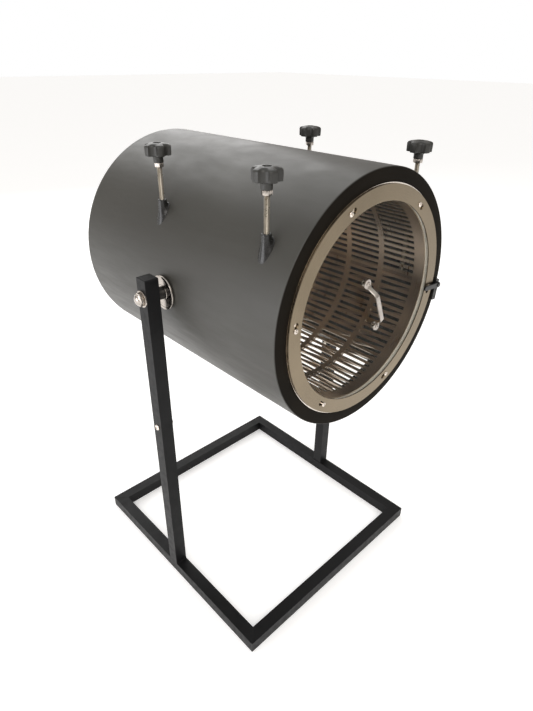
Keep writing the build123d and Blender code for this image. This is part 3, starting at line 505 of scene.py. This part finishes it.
def knob_outline(rounding, radius=0.025, flute=0.0095, centre=0.0275):
    """Outline of a five-lobed knob, as a share of its radius.

    Along an angle away from a flute's middle, the flute's circle is met at centre * cos - sqrt(flute^2
    - (centre * sin)^2). The outline is the soft minimum of that and the knob's own radius.
    """

    def outline(angle):
        fifth = TURN / 5
        away = np.abs((angle + fifth / 2) % fifth - fifth / 2)
        sine = centre * np.sin(away)
        edge = math.asin(flute / centre)
        hollow = centre * np.cos(away) - np.sqrt(np.maximum(flute**2 - sine**2, 0))
        hollow = np.where(away > edge, radius + (away - edge) * centre * 3, hollow)
        soft = -rounding * np.log(np.exp(-radius / rounding) + np.exp(-hollow / rounding))
        return soft / radius

    return outline


class TRIMMER_OT_star_knobs(bpy.types.Operator):
    """Five-lobed star knobs: a profile from the neck to the top's hollow, carried round a star outline"""

    bl_idname = "trimmer.star_knobs"
    bl_label = "Star Knobs"

    def execute(self, context):
        outline = knob_outline(context.scene.trimmer_sizes.lobe_round)
        for corner in CORNERS:
            node = f"star_knob_{corner}"
            low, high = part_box(node)
            rod = rod_radius(corner)
            tall = high.z - low.z
            neck_top = tall - 0.022
            profile = [(0.0, 0.0), (rod, 0.0), (0.0085, 0.0)]
            profile += arc_rows(0.0085, 0.001, 0.001, -90, 0, 4)
            profile += [(0.0094, neck_top * 0.5), (0.0096, neck_top - 0.0035)]
            profile += [(0.0104, neck_top - 0.0015, 0.05), (0.0122, neck_top - 0.0003, 0.2)]
            profile += [(0.0165, neck_top + 0.0002, 0.6), (0.0225, neck_top + 0.0006, 0.95)]
            profile += arc_rows(0.0232, neck_top + 0.0022, 0.0015, -75, 0, 5, 1.0)
            profile += [(0.0249, neck_top + 0.008, 1.0), (0.025, tall - 0.0085, 1.0)]
            profile += arc_rows(0.0205, tall - 0.0068, 0.0045, 4, 76, 9, 1.0)
            profile += [(0.0195, tall - 0.0019, 0.8), (0.0165, tall - 0.0011, 0.5)]
            profile += [(0.013, tall - 0.0005, 0.2), (0.0098, tall - 0.0001), (0.0085, tall)]
            profile += arc_rows(0.0075, tall - 0.0008, 0.0008, 80, 0, 3)
            profile += [(0.0072, tall - 0.0035), (0.0071, tall - 0.006)]
            profile += [(0.003, tall - 0.0064), (0, tall - 0.0064)]
            spot = (middle(node).x, middle(node).y, low.z)
            points = placed(turned(profile, outline, 100), spot, (0, 0, 1))
            make_piece(
                node + "_moulded", [points], f"rod_{corner}", [node],
                finish_named("moulded_black"),
            )
        return {"FINISHED"}


class TRIMMER_OT_threaded_rods(bpy.types.Operator):
    """Adjusting rods: a radius that rises and falls once a pitch, and winds once round for each pitch"""

    bl_idname = "trimmer.threaded_rods"
    bl_label = "Threaded Rods"

    def execute(self, context):
        sizes = context.scene.trimmer_sizes
        sides = 24
        for corner in CORNERS:
            node = f"adjusting_rod_{corner}"
            low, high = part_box(node)
            radius = rod_radius(corner)
            neck_low, neck_high, thread_from = low.z + 0.0022, low.z + 0.0048, low.z + 0.009
            steps = int((high.z - thread_from) / sizes.thread_pitch * 4)
            height = np.linspace(thread_from, high.z - 0.0005, steps)[:, None]
            angle = (np.arange(sides) * TURN / sides)[None, :]
            phase = ((height - thread_from) / sizes.thread_pitch - angle / TURN) % 1
            fade = np.clip(np.minimum(height - thread_from, high.z - height) / 0.003, 0, 1)
            groove = sizes.thread_depth * fade * (1 - np.abs(2 * phase - 1))
            across = radius - groove
            level = np.broadcast_to(height, across.shape)
            thread = np.stack([across * np.cos(angle), across * np.sin(angle), level], axis=-1)
            shift = np.array([middle(node).x, middle(node).y, 0])
            foot = [
                (0, low.z), (radius - 0.0008, low.z), (radius, low.z + 0.0008), (radius, neck_low),
                (radius - 0.0015, neck_low + 0.0002), (radius - 0.0015, neck_high - 0.0002),
                (radius, neck_high), (radius, thread_from),
            ]
            crown = [(radius - 0.0004, high.z - 0.0005), (radius - 0.0012, high.z), (0, high.z)]
            rows = np.concatenate([turned(foot, sides=sides), thread, turned(crown, sides=sides)])
            make_piece(
                node + "_threaded", [rows + shift], f"rod_{corner}", [node],
                finish_named("zinc_plate"), sharp=50,
            )
        return {"FINISHED"}


def nut_profile(half_width, height, bore):
    """A hexagon nut: the flats' outline in the middle, cut down to a round at both ends."""
    corner = half_width / math.cos(TURN / 12)
    drop = (corner - half_width) * 0.55
    rows = [(bore, 0.0), (bore + 0.0005, 0.0), (half_width * 0.97, 0.0)]
    rows += [(half_width * 0.985, drop * 0.3, 0.35), (half_width * 0.995, drop * 0.7, 0.75)]
    rows += [(half_width, drop, 1.0), (half_width, height - drop, 1.0)]
    rows += [(half_width * 0.995, height - drop * 0.7, 0.75)]
    rows += [(half_width * 0.985, height - drop * 0.3, 0.35), (half_width * 0.97, height)]
    return rows


class TRIMMER_OT_lock_nuts(bpy.types.Operator):
    """Hexagon lock nuts under the star knobs"""

    bl_idname = "trimmer.lock_nuts"
    bl_label = "Lock Nuts"

    def execute(self, context):
        for corner in CORNERS:
            node = f"lock_nut_{corner}"
            low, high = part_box(node)
            half = min(high.x - low.x, high.y - low.y) / 2
            height = high.z - low.z
            rod = rod_radius(corner)
            rows = nut_profile(half, height, rod)
            rows += [(rod + 0.0007, height), (rod, height - 0.0006), (rod, 0.0)]
            outline = pointed_hexagon if high.x - low.x > high.y - low.y else hexagon
            spot = (middle(node).x, middle(node).y, low.z)
            points = placed(turned(rows, outline, 72), spot, (0, 0, 1))
            make_piece(
                node + "_cut", [points], f"rod_{corner}", [node],
                finish_named("polished_steel"),
            )
        return {"FINISHED"}


class TRIMMER_OT_rod_bosses(bpy.types.Operator):
    """Rod bosses: upright tubes whose feet flare out and lie on the casing's round surface"""

    bl_idname = "trimmer.rod_bosses"
    bl_label = "Rod Bosses"

    def execute(self, context):
        flare = context.scene.trimmer_sizes.boss_flare
        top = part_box("rod_bosses")[1].z
        steps = 16
        share = np.linspace(0, 1, steps)[:, None]
        angle = (np.arange(64) * TURN / 64)[None, :]
        grids = []
        for corner in CORNERS:
            rod = middle(f"adjusting_rod_{corner}")
            bore = rod_radius(corner) + 0.0006
            radius = 0.0085
            spread = radius + flare * (1 - share) ** 3
            x = rod.x + spread * np.cos(angle)
            y = rod.y + spread * np.sin(angle)
            ground = AXIS_Z + np.sqrt(CASING_RADIUS**2 - x**2) - 0.0006
            blend = share**0.8
            z = ground + blend * (top - 0.0015 - ground)
            wall = np.stack([x, y, z], axis=-1)
            rim = [(radius - 0.0003, top - 0.0006), (radius - 0.001, top), (bore + 0.0006, top)]
            rim += [(bore, top - 0.0006), (bore, top - 0.03)]
            crown = turned(rim, sides=64) + np.array([rod.x, rod.y, 0])
            under = wall[:1].copy()
            under[..., 2] -= 0.004
            grids.append(np.concatenate([under, wall, crown, under]))
        # The bosses take the darker black, which is painted shade.
        make_piece(
            "rod_bosses_flared", grids, "casing", ["rod_bosses"],
            finish_named("boss_black_painted_shade"), sharp=50,
        )
        return {"FINISHED"}


class TRIMMER_OT_casing_face(bpy.types.Operator):
    """Skin of the casing's cut front end: a flat ring with softly broken edges, turned about the axis"""

    bl_idname = "trimmer.casing_face"
    bl_label = "Casing Face"

    def execute(self, context):
        skin, edge = 0.0002, 0.0018
        outer = CASING_RADIUS - 0.0003
        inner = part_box("mouth_ring")[1].x + 0.0008
        rows = [(inner, -0.0004), (inner, skin * 0.4), (inner + 0.0006, skin), (outer - edge, skin)]
        rows += [(outer - edge * 0.6, skin * 0.5), (outer - edge * 0.6, -0.0004)]
        points = placed(turned(ring_of(rows), sides=256), (0, FRONT_Y, AXIS_Z), (0, -1, 0))
        make_piece(
            "casing_front_face", [points], "casing", [], finish_named("casing_face_black")
        )
        return {"FINISHED"}


class TRIMMER_OT_trunnions(bpy.types.Operator):
    """Pivot discs, washers and domed nuts: profiles turned about the tilt axis"""

    bl_idname = "trimmer.trunnions"
    bl_label = "Trunnions"

    def execute(self, context):
        height = middle("trunnion_discs").z
        low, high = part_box("trunnion_discs")
        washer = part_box("pivot_washers")
        nut_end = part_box("pivot_cap_nuts")[1].x
        post_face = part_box("upper_posts")[1].x
        deep, thick, hexagon_height, dome_radius = 0.004, 0.003, 0.008, 0.0098
        tall = nut_end - post_face - thick
        disc = self.disc_profile((high.z - low.z) / 2, deep)
        ring = self.washer_profile((washer[1].z - washer[0].z) / 2, thick)
        nut = nut_profile(0.012, hexagon_height, 0.0)[2:]
        nut += arc_rows(0.0, hexagon_height, dome_radius, 8, 90, 10)[:-1]
        stretch = (tall - hexagon_height) / dome_radius
        nut = [(r, h + max(h - hexagon_height, 0) * (stretch - 1)) + tuple(rest) for r, h, *rest in nut]
        nut = [(0.0, 0.0)] + nut + [(0.0, tall)]
        discs, washers, nuts = [], [], []
        for side in (-1, 1):
            for pieces, points, x in (
                (discs, turned(ring_of(disc), sides=96), high.x - deep),
                (washers, turned(ring_of(ring), sides=72), post_face),
                (nuts, turned(nut, hexagon, 72), post_face + thick - 0.0003),
            ):
                pieces.append(placed(points, (side * x, MIDDLE_Y, height), (side, 0, 0)))
        bright = finish_named("polished_steel")
        make_piece("trunnion_discs_polished", discs, "casing", ["trunnion_discs"], bright)
        make_piece("pivot_washers_turned", washers, "casing", ["pivot_washers"], bright)
        make_piece("pivot_cap_nuts_domed", nuts, "casing", ["pivot_cap_nuts"], bright)
        return {"FINISHED"}

    @staticmethod
    def disc_profile(radius, deep):
        """A disc with a rolled rim, a shallow dished face and a raised middle round its bore."""
        rows = [(0.0086, 0.0), (radius - 0.0006, 0.0), (radius, 0.0006), (radius, deep - 0.0012)]
        rows += [(radius - 0.0004, deep - 0.0004), (radius - 0.0014, deep), (radius - 0.005, deep)]
        rows += [(radius - 0.0054, deep - 0.0007), (0.0165, deep - 0.0007)]
        return rows + [(0.0158, deep), (0.0086, deep)]

    @staticmethod
    def washer_profile(radius, thick):
        """A flat washer with broken edges."""
        rows = [(0.0084, 0.0), (radius - 0.0004, 0.0), (radius, 0.0005), (radius, thick - 0.0008)]
        rows += [(radius - 0.0009, thick), (0.0131, thick), (0.0125, thick - 0.0003)]
        return rows + [(0.0084, thick - 0.0003)]


def screw_rows(head_radius, head_height, shank_radius, shank_length, recess):
    """A domed screw, head up: shank, flat underside, rounded head and a hexagon recess in its top."""
    dome = [
        (head_radius * math.cos(a), head_height * (0.18 + 0.82 * math.sin(a)))
        for a in np.linspace(0, math.acos(recess * 1.35 / head_radius), 8)
    ]
    rows = [(0.0, -shank_length), (shank_radius, -shank_length), (shank_radius, 0.0)]
    rows += [(head_radius * 0.97, 0.0)] + dome
    edge = dome[-1][1]
    rows += [(recess * 1.12, edge + 0.00002, 0.6), (recess, edge - 0.00015, 1.0)]
    rows += [(recess * 0.97, edge * 0.42, 1.0)]
    return rows + [(recess * 0.4, edge * 0.36, 0.6), (0.0, edge * 0.34)]


def screws(node, spots, outward, sizes, recess, body, finish):
    """Screws at their spots, one piece for all of them; sizes are the head's and then the shank's."""
    grids = [placed(turned(screw_rows(*sizes, recess), hexagon, 36), spot, outward) for spot in spots]
    make_piece(node + "_domed", grids, body, [node], finish_named(finish))


def round_spots(radius, y, first, count):
    """Spots spaced evenly on a circle round the drum's axis."""
    angle = np.radians(first) + np.arange(count) * TURN / count
    return np.stack([radius * np.cos(angle), np.full(count, y), AXIS_Z + radius * np.sin(angle)], axis=-1)


class TRIMMER_OT_screws(bpy.types.Operator):
    """Domed screws of the door ring, the latch, the rear cover and the posts"""

    bl_idname = "trimmer.screws"
    bl_label = "Screws"

    def execute(self, context):
        head_high = 0.0028
        screws(
            "lid_screws", round_spots(0.207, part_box("lid_screws")[0].y + head_high, -5.0, 6), (0, -1, 0),
            (0.00475, head_high, 0.0025, 0.012), context.scene.trimmer_sizes.recess,
            "casing", "screw_steel",
        )
        head, head_high = 0.0038, 0.0022
        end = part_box("cover_screws")[1]
        screws(
            "cover_screws", round_spots(end.x - head, end.y - head_high, 0.0, 6), (0, 1, 0),
            (head, head_high, 0.002, 0.015), 0.0013, "casing", "polished_steel",
        )
        head_high = 0.0012
        pivot = middle("latch_pin")
        lean = Vector((pivot.x, 0, pivot.z - AXIS_Z)).normalized()
        down = Vector((lean.z, 0, -lean.x))
        top = Vector((pivot.x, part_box("latch_screws")[0].y + head_high, pivot.z))
        screws(
            "latch_screws", [top + down * drop for drop in (0.012, 0.028)], (0, -1, 0),
            (0.0034, head_high, 0.0018, 0.01), 0.001, "casing", "latch_black",
        )
        low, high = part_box("post_joint_bolts")
        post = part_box("lower_posts")[1]
        rows = screw_rows(0.007, high.x - post.x, 0.004, 0.036, 0.0026)
        grids = [
            placed(turned(rows, hexagon, 48), (side * post.x, MIDDLE_Y, (low.z + high.z) / 2), (side, 0, 0))
            for side in (-1, 1)
        ]
        make_piece(
            "post_joint_bolts_domed", grids, "stand", ["post_joint_bolts"],
            finish_named("screw_steel"),
        )
        return {"FINISHED"}


class TRIMMER_OT_handle(bpy.types.Operator):
    """Door handle: a flat strip that swells into round eyes and rises between them by two smooth bends"""

    bl_idname = "trimmer.handle"
    bl_label = "Handle"

    def execute(self, context):
        low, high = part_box("handle")
        spot = middle("handle")
        centres, eye, half_bar, half_thick, run, head = 0.110, 0.0095, 0.0045, 0.00225, 0.022, 0.0046
        along = Vector(self.direction(head))
        aside = Vector((along.z, 0, -along.x))
        back = high.y
        rise = (back - low.y) - 2 * half_thick
        reach = centres / 2 + eye
        s = reach * np.sin(np.linspace(-math.pi / 2, math.pi / 2, 141))
        climb = np.clip((centres / 2 - 0.004 - np.abs(s)) / run, 0, 1)
        lift = rise * climb**2 * (3 - 2 * climb)
        to_eye = np.abs(np.abs(s) - centres / 2)
        disc = np.sqrt(np.maximum(eye**2 - to_eye**2, 0))
        bar = np.where(np.abs(s) < centres / 2, half_bar + 0.0006 * np.cos(TURN * s / 0.16), 0)
        width = (disc**4 + bar**4) ** 0.25
        round_ends = np.clip(width / 0.003, 0, 1)
        angle = np.arange(28) * TURN / 28
        cos, sin = np.cos(angle), np.sin(angle)
        flat = np.sign(cos) * np.abs(cos) ** 0.55
        thick = np.sign(sin) * np.abs(sin) ** 0.55
        across = width[:, None] * flat[None, :]
        out = lift[:, None] + half_thick * (1 + thick[None, :] * (0.35 + 0.65 * round_ends[:, None]))
        centre = np.array([spot.x, back, spot.z])
        points = (
            centre
            + s[:, None, None] * np.array(along)
            + across[..., None] * np.array(aside)
            + out[..., None] * np.array((0, -1, 0))
        )
        bright = finish_named("polished_steel")
        make_piece("handle_bow", [points], "lid", ["handle"], bright, sharp=60)
        front = centre + np.array((0, -2 * half_thick, 0))
        spots = [front + np.array(along) * side * centres / 2 for side in (-1, 1)]
        screws(
            "handle_screws", spots, (0, -1, 0), (head, 0.0024, 0.0025, 0.011), 0.0014,
            "lid", "polished_steel",
        )
        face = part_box("handle_washers")[1].y
        thick = 0.0012
        ring = [(0.0026, 0), (0.0068, 0), (0.007, 0.0003)]
        ring += [(0.007, thick - 0.0003), (0.0068, thick), (0.0026, thick)]
        grids = [placed(turned(ring_of(ring), sides=40), (p[0], face, p[2]), (0, -1, 0)) for p in spots]
        make_piece("handle_washers_turned", grids, "lid", ["handle_washers"], bright)
        return {"FINISHED"}

    @staticmethod
    def direction(head):
        """Direction from the lower eye to the upper one, from the box and the upper half of its screws."""
        low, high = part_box("handle_screws")
        lean = math.atan2(high.x - low.x - 2 * head, high.z - low.z - 2 * head)
        corners = np.array([v.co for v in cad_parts["handle_screws"].data.vertices])
        top = corners[corners[:, 2] > (low.z + high.z) / 2]
        side = 1.0 if top[:, 0].mean() > (low.x + high.x) / 2 else -1.0
        return math.sin(lean) * side, 0, math.cos(lean)


def bead(points, half_width, seed):
    """A weld bead from the first point to the second, standing out along the third.

    The section is an oval whose size ripples with the sine of the length, as the puddles overlap.
    """
    points = np.array(points, float)
    steps = 60
    share = np.linspace(0, 1, steps)[:, None]
    line = points[0] * (1 - share) + points[1] * share
    length = np.linalg.norm(points[1] - points[0])
    ripple = 1 + 0.16 * np.abs(np.sin(share[:, 0] * length / 0.0032 * math.pi + seed))
    ends = np.clip(np.minimum(share[:, 0], 1 - share[:, 0]) * length / half_width, 0.05, 1) ** 0.5
    forward = (points[1] - points[0]) / length
    outward, aside = points[2], np.cross(forward, points[2])
    angle = np.arange(12) * TURN / 12
    size = (half_width * ripple * ends)[:, None]
    return (
        line[:, None, :]
        + (size * np.cos(angle))[..., None] * aside
        + (size * np.sin(angle) * 0.55)[..., None] * outward
    )


class TRIMMER_OT_weld_beads(bpy.types.Operator):
    """Weld beads over the base's mitres and round the feet of the posts"""

    bl_idname = "trimmer.weld_beads"
    bl_label = "Weld Beads"

    def execute(self, context):
        half = context.scene.trimmer_sizes.weld_bead
        low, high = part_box("base_frame")
        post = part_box("lower_posts")[1]
        tube = high.z
        beads = []
        for side_x in (-1, 1):
            for side_y in (-1, 1):
                x, y = side_x * high.x, high.y if side_y > 0 else low.y
                inner = (x - side_x * tube, y - side_y * tube, tube - half * 0.3)
                outer = (x - side_x * 0.002, y - side_y * 0.002, tube - half * 0.3)
                beads.append(bead([inner, outer, (0, 0, 1)], half * 0.7, side_x + 2 * side_y))
            inner_x, outer_x = side_x * (post.x - tube), side_x * post.x
            for side_y in (-1, 1):
                y = MIDDLE_Y + side_y * tube / 2
                line = [(inner_x, y, tube), (outer_x, y, tube), (0, side_y * 0.7, 0.7)]
                beads.append(bead(line, half, side_y))
            near, far = MIDDLE_Y - tube / 2, MIDDLE_Y + tube / 2
            line = [(inner_x, near, tube), (inner_x, far, tube), (-side_x * 0.7, 0, 0.7)]
            beads.append(bead(line, half, 3))
        coat = finish_named("powder_coat_black")
        make_piece("weld_beads", beads, "stand", [], coat, sharp=80)
        return {"FINISHED"}


class TRIMMER_OT_stage(bpy.types.Operator):
    """Pale floor, soft studio light and the camera"""

    bl_idname = "trimmer.stage"
    bl_label = "Stage"

    def execute(self, context):
        scene = context.scene
        half = 30.0
        mesh = bpy.data.meshes.new("studio_floor")
        corners = [(-half, -half, 0), (half, -half, 0), (half, half, 0), (-half, half, 0)]
        mesh.from_pydata(corners, [], [(0, 1, 2, 3)])
        mesh.materials.append(finish_named("studio_floor"))
        floor = bpy.data.objects.new("studio_floor", mesh)
        floor.location.z = -0.0005
        scene.collection.objects.link(floor)
        scene.world = self.room()
        self.lamp("key", (-1.8, -2.4, 2.8), (0, 0, 0.6), 2.2, 50, (1.0, 0.97, 0.93))
        self.lamp("window", (-3.4, 0.9, 0.9), (0, 0, 0.5), 2.4, 55, (0.96, 0.96, 1.0))
        self.lamp("back", (1.2, 3.0, 2.6), (0, 0, 0.8), 3.0, 60, (1.0, 1.0, 1.0))
        self.camera(scene)
        scene.view_settings.view_transform = "Standard"
        return {"FINISHED"}

    @staticmethod
    def room():
        """A white room to look at; its light is soft, bright overhead and warm and dim near the floor."""
        world = bpy.data.worlds.new("studio")
        world.use_nodes = True
        tree = world.node_tree
        add = tree.nodes.new
        where = add("ShaderNodeTexCoord")
        parts = add("ShaderNodeSeparateXYZ")
        tree.links.new(where.outputs["Generated"], parts.inputs[0])
        ramp = add("ShaderNodeValToRGB")
        tree.links.new(parts.outputs[2], ramp.inputs[0])
        stops = (
            (0.0, (0.55, 0.52, 0.5)), (0.25, (0.5, 0.47, 0.44)),
            (0.6, (0.6, 0.58, 0.55)), (1.0, (1.0, 1.0, 1.0)),
        )
        while len(ramp.color_ramp.elements) < len(stops):
            ramp.color_ramp.elements.new(0.5)
        for element, (at, colour) in zip(ramp.color_ramp.elements, stops):
            element.position = at
            element.color = colour + (1.0,)
        white = add("ShaderNodeBackground")
        white.inputs[0].default_value = (1.0, 1.0, 1.0, 1.0)
        soft = tree.nodes["Background"]
        soft.inputs[1].default_value = 1.0
        tree.links.new(ramp.outputs[0], soft.inputs[0])
        path = add("ShaderNodeLightPath")
        mix = add("ShaderNodeMixShader")
        tree.links.new(path.outputs["Is Camera Ray"], mix.inputs[0])
        tree.links.new(soft.outputs[0], mix.inputs[1])
        tree.links.new(white.outputs[0], mix.inputs[2])
        tree.links.new(mix.outputs[0], tree.nodes["World Output"].inputs[0])
        return world

    @staticmethod
    def lamp(name, spot, target, size, power, colour):
        """A square soft box at a spot, turned to its target."""
        light = bpy.data.lights.new(name, "AREA")
        light.shape = "SQUARE"
        light.size = size
        light.energy = power
        light.color = colour
        lamp = bpy.data.objects.new(name, light)
        lamp.location = spot
        lamp.rotation_euler = (Vector(target) - Vector(spot)).to_track_quat("-Z", "Y").to_euler()
        bpy.context.scene.collection.objects.link(lamp)

    @staticmethod
    def camera(scene):
        """Camera in front of the left post, above the casing, with a hair of roll."""
        yaw, pitch, roll = math.radians(46.03), math.radians(-30.33), math.radians(0.78)
        ahead = Vector((math.cos(yaw) * math.cos(pitch), math.sin(yaw) * math.cos(pitch), math.sin(pitch)))
        level = ahead.cross(Vector((0, 0, 1))).normalized()
        right = level * math.cos(roll) + level.cross(ahead) * math.sin(roll)
        up = right.cross(ahead)
        seen = bpy.data.cameras.new("camera")
        seen.sensor_width = 36.0
        seen.lens = 26.16
        seen.clip_start = 0.02
        camera = bpy.data.objects.new("camera", seen)
        turn = Matrix((right, up, -ahead)).transposed()
        camera.matrix_world = Matrix.Translation((-0.75747, -0.80972, 1.19354)) @ turn.to_4x4()
        scene.collection.objects.link(camera)
        scene.camera = camera


OPERATORS = (
    TRIMMER_OT_finishes,
    TRIMMER_OT_star_knobs,
    TRIMMER_OT_threaded_rods,
    TRIMMER_OT_lock_nuts,
    TRIMMER_OT_rod_bosses,
    TRIMMER_OT_casing_face,
    TRIMMER_OT_trunnions,
    TRIMMER_OT_screws,
    TRIMMER_OT_handle,
    TRIMMER_OT_weld_beads,
    TRIMMER_OT_stage,
)


class TRIMMER_PT_panel(bpy.types.Panel):
    """Every piece, size and colour of the trimmer"""

    bl_idname = "TRIMMER_PT_panel"
    bl_label = "Drum Trimmer"
    bl_space_type = "VIEW_3D"
    bl_region_type = "UI"
    bl_category = "Trimmer"

    def draw(self, context):
        for settings in (context.scene.trimmer_colours, context.scene.trimmer_sizes):
            for key in settings.__annotations__:
                self.layout.prop(settings, key)
        for operator in OPERATORS:
            self.layout.operator(operator.bl_idname)


CLASSES = (TrimmerColours, TrimmerSizes) + OPERATORS + (TRIMMER_PT_panel,)


def register():
    for made in CLASSES:
        bpy.utils.register_class(made)
    bpy.types.Scene.trimmer_colours = bpy.props.PointerProperty(type=TrimmerColours)
    bpy.types.Scene.trimmer_sizes = bpy.props.PointerProperty(type=TrimmerSizes)


def unregister():
    del bpy.types.Scene.trimmer_sizes
    del bpy.types.Scene.trimmer_colours
    for made in reversed(CLASSES):
        bpy.utils.unregister_class(made)


def main():
    """Register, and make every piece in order."""
    register()
    for operator in OPERATORS:
        group, name = operator.bl_idname.split(".")
        getattr(getattr(bpy.ops, group), name)()


if __name__ == "__main__":
    main()
